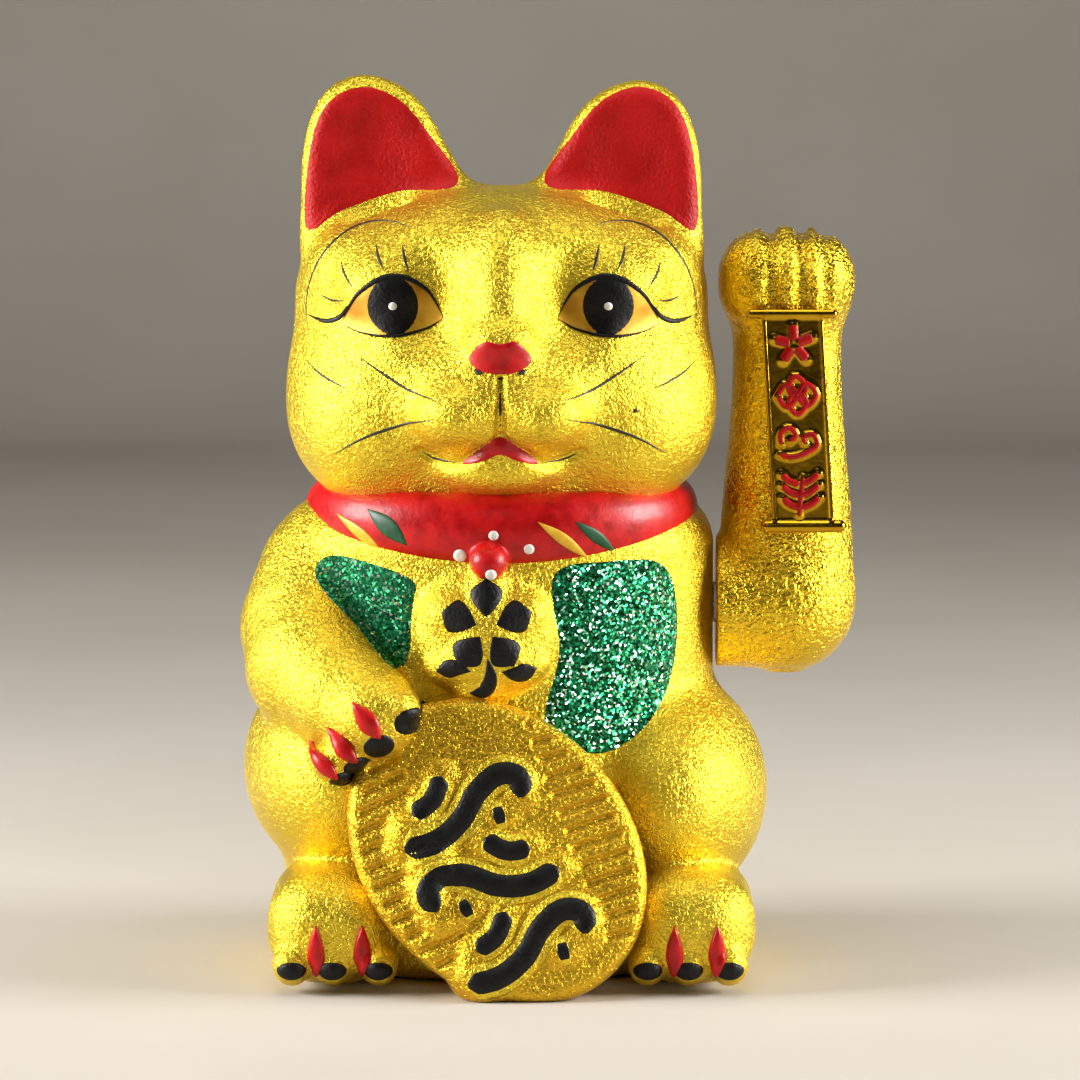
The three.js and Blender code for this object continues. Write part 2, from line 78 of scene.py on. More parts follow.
def turn_matrix(turn: Point) -> Array:
    """The rotation by degrees about X, then Y, then Z.

    Args:
        turn: the three angles.

    Returns:
        A 3 by 3 matrix that takes the form's own axes to the frame's.
    """
    x, y, z = (math.radians(a) for a in turn)
    about_x = np.array([[1, 0, 0], [0, math.cos(x), -math.sin(x)], [0, math.sin(x), math.cos(x)]])
    about_y = np.array([[math.cos(y), 0, math.sin(y)], [0, 1, 0], [-math.sin(y), 0, math.cos(y)]])
    about_z = np.array([[math.cos(z), -math.sin(z), 0], [math.sin(z), math.cos(z), 0], [0, 0, 1]])
    return about_z @ about_y @ about_x


@dataclass(frozen=True)
class Lump:
    """An ellipsoid. Its distance is k(k - 1)/g: k the scaled radius of the point and g the slope of k."""

    at: Point
    half: Point
    turn: Point = (0, 0, 0)

    def distance(self, points: Array) -> Array:
        """Distance in mm, negative inside.

        Args:
            points: where to measure, in mm, three numbers each.

        Returns:
            The distances, one for each point.
        """
        own = (points - np.array(self.at, np.float32)) @ turn_matrix(self.turn).astype(np.float32)
        half = np.array(self.half, np.float32)
        scaled = np.linalg.norm(own / half, axis=-1)
        slope = np.linalg.norm(own / (half * half), axis=-1)
        return scaled * (scaled - 1) / np.maximum(slope, 1e-6)


@dataclass(frozen=True)
class Drum:
    """An upright oval column with rounded edges between two heights."""

    at: Flat
    half: Flat
    low: float
    high: float
    edge: float
    taper: float = 0.0

    def distance(self, points: Array) -> Array:
        """Distance in mm, negative inside: the oval's and the ends', joined with a round edge.

        Args:
            points: where to measure, in mm, three numbers each.

        Returns:
            The distances, one for each point.
        """
        height = points[..., 2]
        share = np.clip((height - self.low) / (self.high - self.low), 0, 1)
        half = [h - self.taper * share for h in self.half]
        x = (points[..., 0] - self.at[0]) / half[0]
        y = (points[..., 1] - self.at[1]) / half[1]
        scaled = np.sqrt(x * x + y * y)
        slope = np.sqrt((x / half[0]) ** 2 + (y / half[1]) ** 2)
        side = scaled * (scaled - 1) / np.maximum(slope, 1e-6) + self.edge
        ends = np.abs(height - (self.low + self.high) / 2) - (self.high - self.low) / 2 + self.edge
        outside = np.hypot(np.maximum(side, 0), np.maximum(ends, 0))
        return outside + np.minimum(np.maximum(side, ends), 0) - self.edge


@dataclass(frozen=True)
class Rod:
    """A round bar between two points, its radius changing evenly, with round ends."""

    start: Point
    stop: Point
    radii: Flat

    def distance(self, points: Array) -> Array:
        """Distance in mm, negative inside.

        Args:
            points: where to measure, in mm, three numbers each.

        Returns:
            The distances, one for each point.
        """
        start, stop = np.array(self.start, np.float32), np.array(self.stop, np.float32)
        along = stop - start
        share = np.clip(((points - start) @ along) / (along @ along), 0, 1)
        nearest = start + share[..., None] * along
        radius = self.radii[0] + share * (self.radii[1] - self.radii[0])
        return np.linalg.norm(points - nearest, axis=-1) - radius


@dataclass(frozen=True)
class Block:
    """A box with rounded edges and corners."""

    at: Point
    half: Point
    edge: float
    turn: Point = (0, 0, 0)

    def distance(self, points: Array) -> Array:
        """Distance in mm, negative inside.

        Args:
            points: where to measure, in mm, three numbers each.

        Returns:
            The distances, one for each point.
        """
        own = (points - np.array(self.at, np.float32)) @ turn_matrix(self.turn).astype(np.float32)
        past = np.abs(own) - (np.array(self.half, np.float32) - self.edge)
        outside = np.linalg.norm(np.maximum(past, 0), axis=-1)
        return outside + np.minimum(past.max(axis=-1), 0) - self.edge


@dataclass(frozen=True)
class Chain:
    """Round bars end to end through points. Beyond reach mm from them it only says that it is far."""

    path: tuple[Point, ...]
    radii: tuple[float, ...]
    reach: float = 6.0

    def distance(self, points: Array) -> Array:
        """Distance in mm, negative inside.

        Args:
            points: where to measure, in mm, three numbers each.

        Returns:
            The distances, one for each point.
        """
        spots, widest = np.array(self.path, np.float32), max(self.radii) + self.reach
        low, high = spots.min(axis=0) - widest, spots.max(axis=0) + widest
        near = np.all((points > low) & (points < high), axis=-1)
        out = np.full(points.shape[:-1], 1e3, np.float32)
        close = points[near]
        best = np.full(len(close), 1e3, np.float32)
        for number in range(len(spots) - 1):
            bar = Rod(tuple(spots[number]), tuple(spots[number + 1]), self.radii[number : number + 2])
            best = np.minimum(best, bar.distance(close))
        out[near] = best
        return out


@dataclass(frozen=True)
class Hoop:
    """A band round an oval, its section a tall oval that is taller and lower at the front."""

    at: Flat
    half: Flat
    thick: float
    side: Flat
    front: Flat

    def distance(self, points: Array) -> Array:
        """Distance in mm, negative inside: the section's oval about the hoop's middle line.

        Args:
            points: where to measure, in mm, three numbers each.

        Returns:
            The distances, one for each point.
        """
        x, y = points[..., 0] - self.at[0], points[..., 1] - self.at[1]
        scaled = np.hypot(x / self.half[0], y / self.half[1])
        slope = np.hypot(x / self.half[0] ** 2, y / self.half[1] ** 2)
        across = scaled * (scaled - 1) / np.maximum(slope, 1e-6)
        facing = np.clip(-y / np.maximum(np.hypot(x, y), 1e-6), 0, 1) ** 2
        high = self.side[1] + (self.front[1] - self.side[1]) * facing
        up = points[..., 2] - (self.side[0] + (self.front[0] - self.side[0]) * facing)
        ring = np.hypot(across / self.thick, up / high)
        lean = np.hypot(across / self.thick**2, up / high**2)
        return ring * (ring - 1) / np.maximum(lean, 1e-6)


@dataclass(frozen=True)
class Spindle:
    """A turned upright form: its radius follows the heights smoothly, and it is flatter front to back."""

    at: Flat
    heights: tuple[float, ...]
    radii: tuple[float, ...]
    flatten: float = 1.0

    def distance(self, points: Array) -> Array:
        """Distance in mm, negative inside: radius less the table's, scaled by the side's slope.

        Args:
            points: where to measure, in mm, three numbers each.

        Returns:
            The distances, one for each point.
        """
        levels = np.linspace(self.heights[0], self.heights[-1], 200)
        radii = smooth_table(self.heights, self.radii, levels)
        radius = np.interp(points[..., 2], levels, radii).astype(np.float32)
        steep = np.abs(np.interp(points[..., 2], levels, np.gradient(radii, levels))).astype(np.float32)
        across = np.hypot(points[..., 0] - self.at[0], (points[..., 1] - self.at[1]) / self.flatten)
        past = np.maximum(self.heights[0] - points[..., 2], points[..., 2] - self.heights[-1])
        return np.maximum((across - radius) / np.sqrt(1 + np.minimum(steep, 4) ** 2), past)


@dataclass(frozen=True)
class Plate:
    """A flat outline given a thickness and rounded edges, anywhere in space.

    The outline's points are (across, up) in the plate's own plane. Turn (0, 0, 0) faces -Y.
    """

    at: Point
    outline: tuple[Flat, ...]
    thick: float
    edge: float
    turn: Point = (0, 0, 0)

    def distance(self, points: Array) -> Array:
        """Distance in mm, negative inside: the outline's and the thickness's, with a round edge.

        Args:
            points: where to measure, in mm, three numbers each.

        Returns:
            The distances, one for each point.
        """
        own = (points - np.array(self.at, np.float32)) @ turn_matrix(self.turn).astype(np.float32)
        flat = outline_distance(np.array(self.outline, np.float32), own[..., 0], own[..., 2]) + self.edge
        deep = np.abs(own[..., 1]) - self.thick / 2 + self.edge
        outside = np.hypot(np.maximum(flat, 0), np.maximum(deep, 0))
        return outside + np.minimum(np.maximum(flat, deep), 0) - self.edge


@dataclass(frozen=True)
class Beyond:
    """Everything behind a plane, on the side that its normal points away from."""

    at: Point
    normal: Point

    def distance(self, points: Array) -> Array:
        """Distance in mm of each point, negative inside."""
        return (points - np.array(self.at, np.float32)) @ np.array(self.normal, np.float32)


def outline_distance(corners: Array, x: Array, y: Array) -> Array:
    """Distance from a closed outline, negative inside, by the nearest edge and the count of crossings.

    Args:
        corners: the outline's corners, n by 2.
        x: across, any shape.
        y: up, the same shape.

    Returns:
        The signed distance, in the same shape.
    """
    best = np.full(x.shape, 1e9, np.float32)
    inside = np.zeros(x.shape, bool)
    for (ax, ay), (bx, by) in zip(corners, np.roll(corners, -1, axis=0)):
        ex, ey = bx - ax, by - ay
        share = np.clip(((x - ax) * ex + (y - ay) * ey) / (ex * ex + ey * ey), 0, 1)
        best = np.minimum(best, (x - ax - share * ex) ** 2 + (y - ay - share * ey) ** 2)
        if ay != by:
            crosses = ((ay > y) != (by > y)) & (x < ex * (y - ay) / ey + ax)
            inside ^= crosses
    return np.where(inside, -1, 1) * np.sqrt(best)


def smooth_table(keys: Sequence[float], values: Sequence[float], at: Array) -> Array:
    """A table's value between its keys, by a cubic through the keys with level-headed slopes.

    Args:
        keys: increasing keys.
        values: the value at each key.
        at: where to read it.

    Returns:
        The smooth values.
    """
    keys, values = np.array(keys, float), np.array(values, float)
    step = np.diff(keys)
    secant = np.diff(values) / step
    slope = np.r_[secant[0], (secant[:-1] + secant[1:]) / 2, secant[-1]]
    cell = np.clip(np.searchsorted(keys, at) - 1, 0, len(step) - 1)
    t = np.clip((at - keys[cell]) / step[cell], 0, 1)
    h = step[cell]
    return (
        values[cell] * (2 * t**3 - 3 * t**2 + 1)
        + values[cell + 1] * (3 * t**2 - 2 * t**3)
        + slope[cell] * h * (t**3 - 2 * t**2 + t)
        + slope[cell + 1] * h * (t**3 - t**2)
    )


class Join(Enum):
    """How a form joins the clay so far."""

    ADD = 1
    CUT = -1
    KEEP = 0


@dataclass
class Clay:
    """Forms joined one after another with soft seams."""

    parts: list[tuple[Form, Join, float]] = field(default_factory=list)

    def add(self, form: Form, blend: float = 0.0) -> "Clay":
        """Adds a form, its seam filled to about this radius in mm."""
        self.parts.append((form, Join.ADD, blend))
        return self

    def cut(self, form: Form, blend: float = 0.0) -> "Clay":
        """Takes a form away, the rim rounded to about this radius in mm."""
        self.parts.append((form, Join.CUT, blend))
        return self

    def keep(self, form: Form, blend: float = 0.0) -> "Clay":
        """Keeps only what lies inside a form."""
        self.parts.append((form, Join.KEEP, blend))
        return self

    def distance(self, points: Array) -> Array:
        """Distance in mm from the skin, negative inside.

        Args:
            points: where to measure, in mm, three numbers each.

        Returns:
            The distances, one for each point.
        """
        points = np.asarray(points, np.float32)
        total = np.full(points.shape[:-1], 1e3, np.float32)
        for form, join, blend in self.parts:
            one = form.distance(points).astype(np.float32)
            if join is Join.ADD:
                total = soft_least(total, one, blend)
            elif join is Join.CUT:
                total = -soft_least(-total, one, blend)
            else:
                total = -soft_least(-total, -one, blend)
        return total

    def slope(self, points: Array, step: float = 0.05) -> Array:
        """The direction straight out of the skin, from differences of the distance along each axis.

        Args:
            points: where to measure, in mm.
            step: how far apart the differences are taken.

        Returns:
            A unit direction for each point.
        """
        out = np.stack(
            [
                self.distance(points + step * axis) - self.distance(points - step * axis)
                for axis in np.eye(3, dtype=np.float32)
            ],
            axis=-1,
        )
        return out / np.maximum(np.linalg.norm(out, axis=-1, keepdims=True), 1e-9)

    def settle(self, points: Array, rounds: int = 3) -> Array:
        """Moves points that are near the skin onto it, along the skin's own normal.

        Args:
            points: the points in mm.
            rounds: how many moves.

        Returns:
            The moved points.
        """
        for _ in range(rounds):
            points = points - self.distance(points)[..., None] * self.slope(points)
        return points

    def front(self, spots: Array) -> Array:
        """The frontmost point of the skin at each spot, or the nearest one when the spot is beside it.

        Args:
            spots: (across, up) in mm.

        Returns:
            Points on the skin in mm.
        """
        start = np.stack([spots[..., 0], np.full(spots.shape[:-1], FRONT_Y), spots[..., 1]], axis=-1)
        points = self.meet(start, np.array((0.0, 1.0, 0.0)))
        missed = ~(np.abs(self.distance(points)) < ARRIVED_MM)
        if missed.any():
            across, up = spots[missed].T
            beside = np.stack([across, np.full(len(up), BESIDE_Y), up], axis=-1)
            points[missed] = self.settle(beside, 8)
        return points

    def lay(self, spots: Array, height: Array) -> Array:
        """Points this far in mm off the skin's front at (across, up) spots."""
        points = self.front(spots)
        return points + np.asarray(height)[..., None] * self.slope(points)

    def raised(self, traces: Sequence["Trace"], height: float, blend: float, deeper: float = 0.0) -> "Clay":
        """Adds a rounded ridge along each line, or a groove when the height is negative.

        Args:
            traces: the lines.
            height: how far the ridge stands out, or the groove goes in when negative.
            blend: the seam's softness in mm.
            deeper: how much wider in radius the bar is than half the line, for a flatter ridge.

        Returns:
            The clay itself.
        """
        if not traces:
            return self
        paths = [smooth_path(trace.path, max(3, len(trace.path) * 3)) for trace in traces]
        radii = np.concatenate([np.full(len(p), t.width / 2 + deeper) for p, t in zip(paths, traces)])
        points = self.lay(np.concatenate(paths), height - radii if height > 0 else radii + height)
        stops = np.cumsum([len(path) for path in paths])
        for stop, path in zip(stops, paths):
            spots = points[stop - len(path) : stop]
            wide = tuple(radii[stop - len(path) : stop].tolist())
            form = Chain(tuple(map(tuple, spots.tolist())), wide, 3.0)
            self.parts.append((form, Join.ADD if height > 0 else Join.CUT, blend))
        return self

    def meet(self, start: Array, along: Array, rounds: int = 48) -> Array:
        """Where rays first meet the skin: each steps forward by its distance until it arrives.

        Args:
            start: where the rays start, n by 3 in mm.
            along: their unit directions, n by 3 or one direction.
            rounds: how many steps.

        Returns:
            The meeting points, n by 3.
        """
        along = np.broadcast_to(np.asarray(along, float), start.shape)
        gone = np.zeros(start.shape[:-1])
        for _ in range(rounds):
            gone = gone + 0.9 * self.distance(start + gone[..., None] * along)
        return start + gone[..., None] * along


@dataclass(frozen=True)
class Trace:
    """A line drawn on a skin as (across, up) points in mm, seen from the front, with its width."""

    path: tuple[Flat, ...]
    width: float


def smooth_path(corners: Sequence[Sequence[float]], count: int, closed: bool = False) -> Array:
    """A smooth curve through a row of points, read at even steps along it (Catmull-Rom).

    Args:
        corners: the points, of two or more numbers each.
        count: how many points to return.
        closed: whether the last joins the first.

    Returns:
        The points along the curve, count by the numbers in each.
    """
    spots = np.array(corners, float)
    if closed:
        row = np.concatenate([spots[-1:], spots, spots[:2]])
    else:
        row = np.concatenate([2 * spots[:1] - spots[1:2], spots, 2 * spots[-1:] - spots[-2:-1]])
    a, b, c, d = row[:-3, None], row[1:-2, None], row[2:-1, None], row[3:, None]
    t = np.linspace(0, 1, 17)[None, :, None]
    bent = (3 * b - a - 3 * c + d) * t**3 + (2 * a - 5 * b + 4 * c - d) * t**2 + (c - a) * t + 2 * b
    curve = (bent / 2).reshape(-1, spots.shape[1])
    gone = np.r_[0, np.cumsum(np.linalg.norm(np.diff(curve[:, :2], axis=0), axis=1))]
    even = np.linspace(0, gone[-1], count, endpoint=not closed)
    return np.stack([np.interp(even, gone, column) for column in curve.T], axis=1)


def soft_least(a: Array, b: Array, blend: float) -> Array:
    """The lesser of two distances with a soft seam: min(a, b) - h² k / 4, where h is 1 - |a - b| / k, or 0.

    Args:
        a: one distance.
        b: the other.
        blend: the seam's width k in mm.

    Returns:
        The joined distances.
    """
    if blend <= 0:
        return np.minimum(a, b)
    near = np.maximum(blend - np.abs(a - b), 0) / blend
    return np.minimum(a, b) - near * near * blend / 4


def level_skin(clay: Clay, low: Point, high: Point, cell: float) -> tuple[Array, Array]:
    """The skin of a clay form as four-sided faces of nearly even size.

    The space is cut into cells. Each cell that the skin passes through gets one vertex, the mean of the
    points where the skin crosses the cell's edges, then settled on the skin. Each grid edge that the skin
    crosses gives one face, between the four cells round it.

    Args:
        clay: the form.
        low: lowest corner of the space in mm.
        high: highest corner.
        cell: cell size in mm.

    Returns:
        Vertices n by 3 in mm, and faces m by 4.
    """
    cell = cell * 1.0
    ranges = [np.arange(a, b + cell, cell, dtype=np.float32) for a, b in zip(low, high)]
    size = [len(r) for r in ranges]
    values = np.empty(size, np.float32)
    for start in range(0, size[0], 16):
        slab = np.stack(np.meshgrid(ranges[0][start : start + 16], ranges[1], ranges[2], indexing="ij"), -1)
        values[start : start + 16] = clay.distance(slab)
    within = values < 0
    cells = [n - 1 for n in size]
    corner_view = {c: tuple(slice(k, k + n) for k, n in zip(c, cells)) for c in product((0, 1), repeat=3)}
    count = sum(within[view].astype(np.int8) for view in corner_view.values())
    active = (count > 0) & (count < 8)
    where = np.argwhere(active)
    number = np.full(cells, -1, np.int64)
    number[active] = np.arange(len(where))
    total, crossings = np.zeros((len(where), 3), np.float32), np.zeros(len(where), np.float32)
    for axis, start in product(range(3), product((0, 1), repeat=3)):
        if start[axis]:
            continue
        stop = tuple(1 if k == axis else s for k, s in enumerate(start))
        a = values[corner_view[start]][active]
        b = values[corner_view[stop]][active]
        hit = (a < 0) != (b < 0)
        share = np.where(hit, a / np.where(hit, a - b, 1), 0)
        spot = np.tile(np.array(start, np.float32), (len(where), 1))
        spot[:, axis] += share
        total += np.where(hit[:, None], spot, 0)
        crossings += hit
    points = np.array(low, np.float32) + cell * (where + total / crossings[:, None])
    faces = []
    for axis in range(3):
        one, two = (axis + 1) % 3, (axis + 2) % 3
        before = [slice(1, n) for n in cells]
        before[axis] = slice(0, cells[axis])
        after = list(before)
        after[axis] = slice(1, cells[axis] + 1)
        leaving = within[tuple(before)] & ~within[tuple(after)]
        entering = ~within[tuple(before)] & within[tuple(after)]
        for mask, turned in ((leaving, False), (entering, True)):
            at = np.argwhere(mask) + np.array([0 if k == axis else 1 for k in range(3)])
            around = []
            for d1, d2 in ((1, 1), (0, 1), (0, 0), (1, 0)):
                shifted = at.copy()
                shifted[:, one] -= d1
                shifted[:, two] -= d2
                around.append(number[tuple(shifted.T)])
            quads = np.stack(around, axis=1)
            faces.append(quads[:, ::-1] if turned else quads)
    return clay.settle(points, 2), np.concatenate(faces)


# ---------------------------------------------------------------- meshes
@dataclass(frozen=True)
class Place:
    """Where a piece belongs: its CAD body, its record slot and the CAD nodes that it stands for."""

    body: str
    slot: str
    replaces: tuple[str, ...] = ()


def make_piece(
    name: str, points: Array, faces: Array, material: bpy.types.Material, place: Place
) -> bpy.types.Object:
    """Makes one mesh object from points in mm and faces of one size, and ties it to the frame.

    Args:
        name: the piece's name.
        points: n by 3.
        faces: m by 3 or m by 4 point numbers, counter-clockwise seen from outside.
        material: its finish.
        place: its body, slot and replaced nodes.

    Returns:
        The object.
    """
    faces = np.asarray(faces)
    mesh = bpy.data.meshes.new(name)
    mesh.vertices.add(len(points))
    mesh.vertices.foreach_set("co", (np.asarray(points, float) * MM).astype(np.float32).ravel())
    mesh.loops.add(faces.size)
    mesh.loops.foreach_set("vertex_index", faces.ravel().astype(np.int32))
    mesh.polygons.add(len(faces))
    mesh.polygons.foreach_set("loop_start", np.arange(0, faces.size, faces.shape[1], dtype=np.int32))
    mesh.polygons.foreach_set("use_smooth", np.ones(len(faces), bool))
    mesh.update(calc_edges=True)
    mesh.validate()
    mesh.materials.append(material)
    piece = bpy.data.objects.new(name, mesh)
    bpy.context.scene.collection.objects.link(piece)
    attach(piece, place.body)
    if place.replaces:
        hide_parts(*place.replaces)
    LOG.info("%s: %d faces", name, len(faces))
    return piece


def grid_faces(rows: int, columns: int, closed: bool) -> Array:
    """Faces of a grid of rows by columns points, its columns joined into a ring when closed.

    Args:
        rows: how many rows of points.
        columns: how many points in a row.
        closed: whether the last column joins the first.

    Returns:
        The faces, m by 4.
    """
    across = np.arange(columns if closed else columns - 1)
    row, column = np.meshgrid(np.arange(rows - 1), across, indexing="ij")
    this_row, next_row, beside = row * columns, (row + 1) * columns, (column + 1) % columns
    corners = [this_row + column, this_row + beside, next_row + beside, next_row + column]
    return np.stack([c.ravel() for c in corners], axis=1)


def capped_tube(rings: Array) -> tuple[Array, Array]:
    """Closes a stack of rings, each r by k by 3, with a point at each end.

    Args:
        rings: rings of points, each counter-clockwise seen from the end the stack runs to.

    Returns:
        Points and four-sided faces. Each end is a ring of equal points, which merged() makes one.
    """
    count, around = rings.shape[:2]
    ends = np.stack([np.repeat(ring.mean(axis=0)[None], around, 0) for ring in (rings[0], rings[-1])])
    full = np.concatenate([ends[:1], rings, ends[1:]])
    return full.reshape(-1, 3), grid_faces(count + 2, around, True)


def merged(piece: bpy.types.Object, gap: float = 1e-6) -> bpy.types.Object:
    """Joins a piece's points that lie on each other, so its poles and seams are closed.

    Args:
        piece: the piece.
        gap: how far apart in metres they may lie.

    Returns:
        The same piece.
    """
    work = bmesh.new()
    work.from_mesh(piece.data)
    bmesh.ops.remove_doubles(work, verts=work.verts, dist=gap)
    work.to_mesh(piece.data)
    work.free()
    piece.data.polygons.foreach_set("use_smooth", np.ones(len(piece.data.polygons), bool))
    return piece


# ---------------------------------------------------------------- finishes
def linear(code: str) -> tuple[float, float, float, float]:
    """An sRGB hex colour as the linear values that a shader takes."""
    parts = [int(code[i : i + 2], 16) / 255 for i in (1, 3, 5)]
    return (*[c / 12.92 if c <= 0.04045 else ((c + 0.055) / 1.055) ** 2.4 for c in parts], 1.0)


def node(
    tree: bpy.types.NodeTree, kind: str, settings: dict | None = None, inputs: dict | None = None
) -> bpy.types.Node:
    """Adds one shader node with its settings, values and links.

    Args:
        tree: the material's node tree.
        kind: the node's type.
        settings: attributes to set on it.
        inputs: by socket name or number, a value or an output socket to link from.

    Returns:
        The node.
    """
    made = tree.nodes.new(kind)
    for key, value in (settings or {}).items():
        setattr(made, key, value)
    for key, value in (inputs or {}).items():
        if isinstance(value, bpy.types.NodeSocket):
            tree.links.new(value, made.inputs[key])
        else:
            made.inputs[key].default_value = value
    return made


def ramp(
    tree: bpy.types.NodeTree, factor: bpy.types.NodeSocket, stops: Sequence[tuple[float, str]]
) -> bpy.types.NodeSocket:
    """Adds a colour ramp between hex colours.

    Args:
        tree: the material's nodes.
        factor: what the ramp reads.
        stops: each position and its colour.

    Returns:
        The ramp's colour output.
    """
    made = node(tree, "ShaderNodeValToRGB", {}, {0: factor})
    elements = made.color_ramp.elements
    while len(elements) < len(stops):
        elements.new(0.5)
    for element, (position, colour) in zip(elements, stops):
        element.position = position
        element.color = linear(colour)
    return made.outputs["Color"]


@dataclass(frozen=True)
class Finish:
    """A finish with a mottled colour, an uneven sheen and a fine relief, all at real sizes.

    Colour runs from dark to light over mottle_mm. Relief is a grain of grain_mm, grain_height_mm high. The
    colour can also follow the relief by a set share, darker in its hollows and lighter on its grains: painted
    shade and light.
    """

    name: str
    dark: str
    light: str
    roughness: float
    metallic: float = 0.0
    mottle_mm: float = 12.0
    grain_mm: float = 0.0
    grain_height_mm: float = 0.0
    coat: float = 0.0
    coat_roughness: float = 0.1
    uneven: float = 0.08
    ior: float = 1.5
    relief_shade: float = 0.0
    specular: float = 0.5

    def material(self) -> bpy.types.Material:
        """The node material, made once for each name."""
        known = bpy.data.materials.get(self.name)
        if known:
            return known
        made = bpy.data.materials.new(self.name)
        made.use_nodes = True
        tree = made.node_tree
        tree.nodes.clear()
        place = node(tree, "ShaderNodeTexCoord").outputs["Object"]
        shader = node(
            tree,
            "ShaderNodeBsdfPrincipled",
            {},
            {
                "Metallic": self.metallic,
                "IOR": self.ior,
                "Specular IOR Level": self.specular,
                "Coat Weight": self.coat,
                "Coat Roughness": self.coat_roughness,
            },
        )
        self.dress(tree, place, shader)
        node(tree, "ShaderNodeOutputMaterial", {}, {"Surface": shader.outputs["BSDF"]})
        return made

    def dress(self, tree: bpy.types.NodeTree, place: bpy.types.NodeSocket, shader: bpy.types.Node) -> None:
        """Links the colour, roughness and relief to the shader.

        Args:
            tree: the material's nodes.
            place: object coordinates in metres.
            shader: the principled shader.
        """
        patches = {"Vector": place, "Scale": 1 / (self.mottle_mm * MM), "Detail": 5.0}
        mottle = node(tree, "ShaderNodeTexNoise", {}, patches)
        height = self.relief(tree, place) if self.grain_mm else None
        tint = mottle.outputs["Fac"]
        # By that share the colour follows the relief: painted shade in its hollows, painted light on its
        # grains.
        if height and self.relief_shade:
            tint = node(
                tree,
                "ShaderNodeMix",
                {"data_type": "FLOAT"},
                {"Factor": self.relief_shade, "A": mottle.outputs["Fac"], "B": height},
            ).outputs["Result"]
        colour = ramp(tree, tint, ((0.34, self.dark), (0.6, self.light)))
        tree.links.new(colour, shader.inputs["Base Color"])
        sheen = node(
            tree,
            "ShaderNodeMapRange",
            {},
            {
                "Value": mottle.outputs["Fac"],
                "From Min": 0.3,
                "From Max": 0.7,
                "To Min": self.roughness - self.uneven,
                "To Max": self.roughness + self.uneven,
            },
        )
        tree.links.new(sheen.outputs["Result"], shader.inputs["Roughness"])
        if height:
            raise_by = {"Height": height, "Distance": self.grain_height_mm * MM, "Strength": 1.0}
            bump = node(tree, "ShaderNodeBump", {}, raise_by)
            tree.links.new(bump.outputs["Normal"], shader.inputs["Normal"])

    def relief(self, tree: bpy.types.NodeTree, place: bpy.types.NodeSocket) -> bpy.types.NodeSocket:
        """The relief's height, 0 to 1, from soft noise of the grain's size."""
        grains = {"Vector": place, "Scale": 1 / (self.grain_mm * MM), "Detail": 2.0, "Roughness": 0.5}
        return node(tree, "ShaderNodeTexNoise", {}, grains).outputs["Fac"]


@dataclass(frozen=True)
class SandPaint(Finish):
    """Gold spray paint over a fine sand slip: rounded grains over wider hollows."""

    def relief(self, tree: bpy.types.NodeTree, place: bpy.types.NodeSocket) -> bpy.types.NodeSocket:
        """Wrinkled noise of the grain's size plus 0.6 of a relief four grains wide.

        Args:
            tree: the material's nodes.
            place: object coordinates in metres.

        Returns:
            The height.
        """
        grains = 1 / (self.grain_mm * MM)
        wrinkles = {"Vector": place, "Scale": 0.8 * grains, "Detail": 1.5}
        wrinkles.update({"Roughness": 0.6, "Distortion": 1.2})
        fine = node(tree, "ShaderNodeTexNoise", {}, wrinkles)
        broad = node(tree, "ShaderNodeTexNoise", {}, {"Vector": place, "Scale": 0.25 * grains, "Detail": 1.0})
        both = {0: broad.outputs["Fac"], 1: 0.6, 2: fine.outputs["Fac"]}
        return node(tree, "ShaderNodeMath", {"operation": "MULTIPLY_ADD"}, both).outputs[0]


@dataclass(frozen=True)
class Glitter(Finish):
    """Glued glitter: flat flakes of flake_mm, each tilted its own way, some of them pale and white as painted
    glints.
    """

    flake_mm: float = 0.9
    spark: str = "#a6dcc2"

    def dress(self, tree: bpy.types.NodeTree, place: bpy.types.NodeSocket, shader: bpy.types.Node) -> None:
        """Gives each cell of a Voronoi pattern its own colour and tilt, as each flake has.

        Args:
            tree: the material's nodes.
            place: object coordinates in metres.
            shader: the principled shader.
        """
        flakes = node(tree, "ShaderNodeTexVoronoi", {}, {"Vector": place, "Scale": 1 / (self.flake_mm * MM)})
        pick = node(tree, "ShaderNodeSeparateColor", {}, {"Color": flakes.outputs["Color"]})
        # The ramp's top, the spark colour and white, paints glints on some flakes.
        colour = ramp(
            tree,
            pick.outputs["Red"],
            ((0.0, self.dark), (0.5, self.light), (0.86, "#1f9a63"), (0.93, self.spark), (1.0, "#ffffff")),
        )
        tree.links.new(colour, shader.inputs["Base Color"])
        shader.inputs["Roughness"].default_value = self.roughness
        middle = {0: flakes.outputs["Color"], 1: (0.5, 0.5, 0.5)}
        centred = node(tree, "ShaderNodeVectorMath", {"operation": "SUBTRACT"}, middle)
        surface = node(tree, "ShaderNodeNewGeometry")
        tilted = node(
            tree,
            "ShaderNodeVectorMath",
            {"operation": "MULTIPLY_ADD"},
            {0: centred.outputs[0], 1: (1.1, 1.1, 1.1), 2: surface.outputs["Normal"]},
        )
        level = node(tree, "ShaderNodeVectorMath", {"operation": "NORMALIZE"}, {0: tilted.outputs[0]})
        tree.links.new(level.outputs[0], shader.inputs["Normal"])


# Gold spray paint over sand slip on ceramic: satin, metallic and grainy, its colour darker in the grain's
# hollows and lighter on the grains as painted shade and light.
# The real sand is finer than this grain, which is drawn as coarse as it needs to show.
SAND_GOLD = SandPaint(
    "sand_painted_gold_ceramic", "#9c720d", "#efd03a", 0.36, metallic=0.9, mottle_mm=26, grain_mm=0.95,
    grain_height_mm=0.6, uneven=0.05, relief_shade=0.72,
)
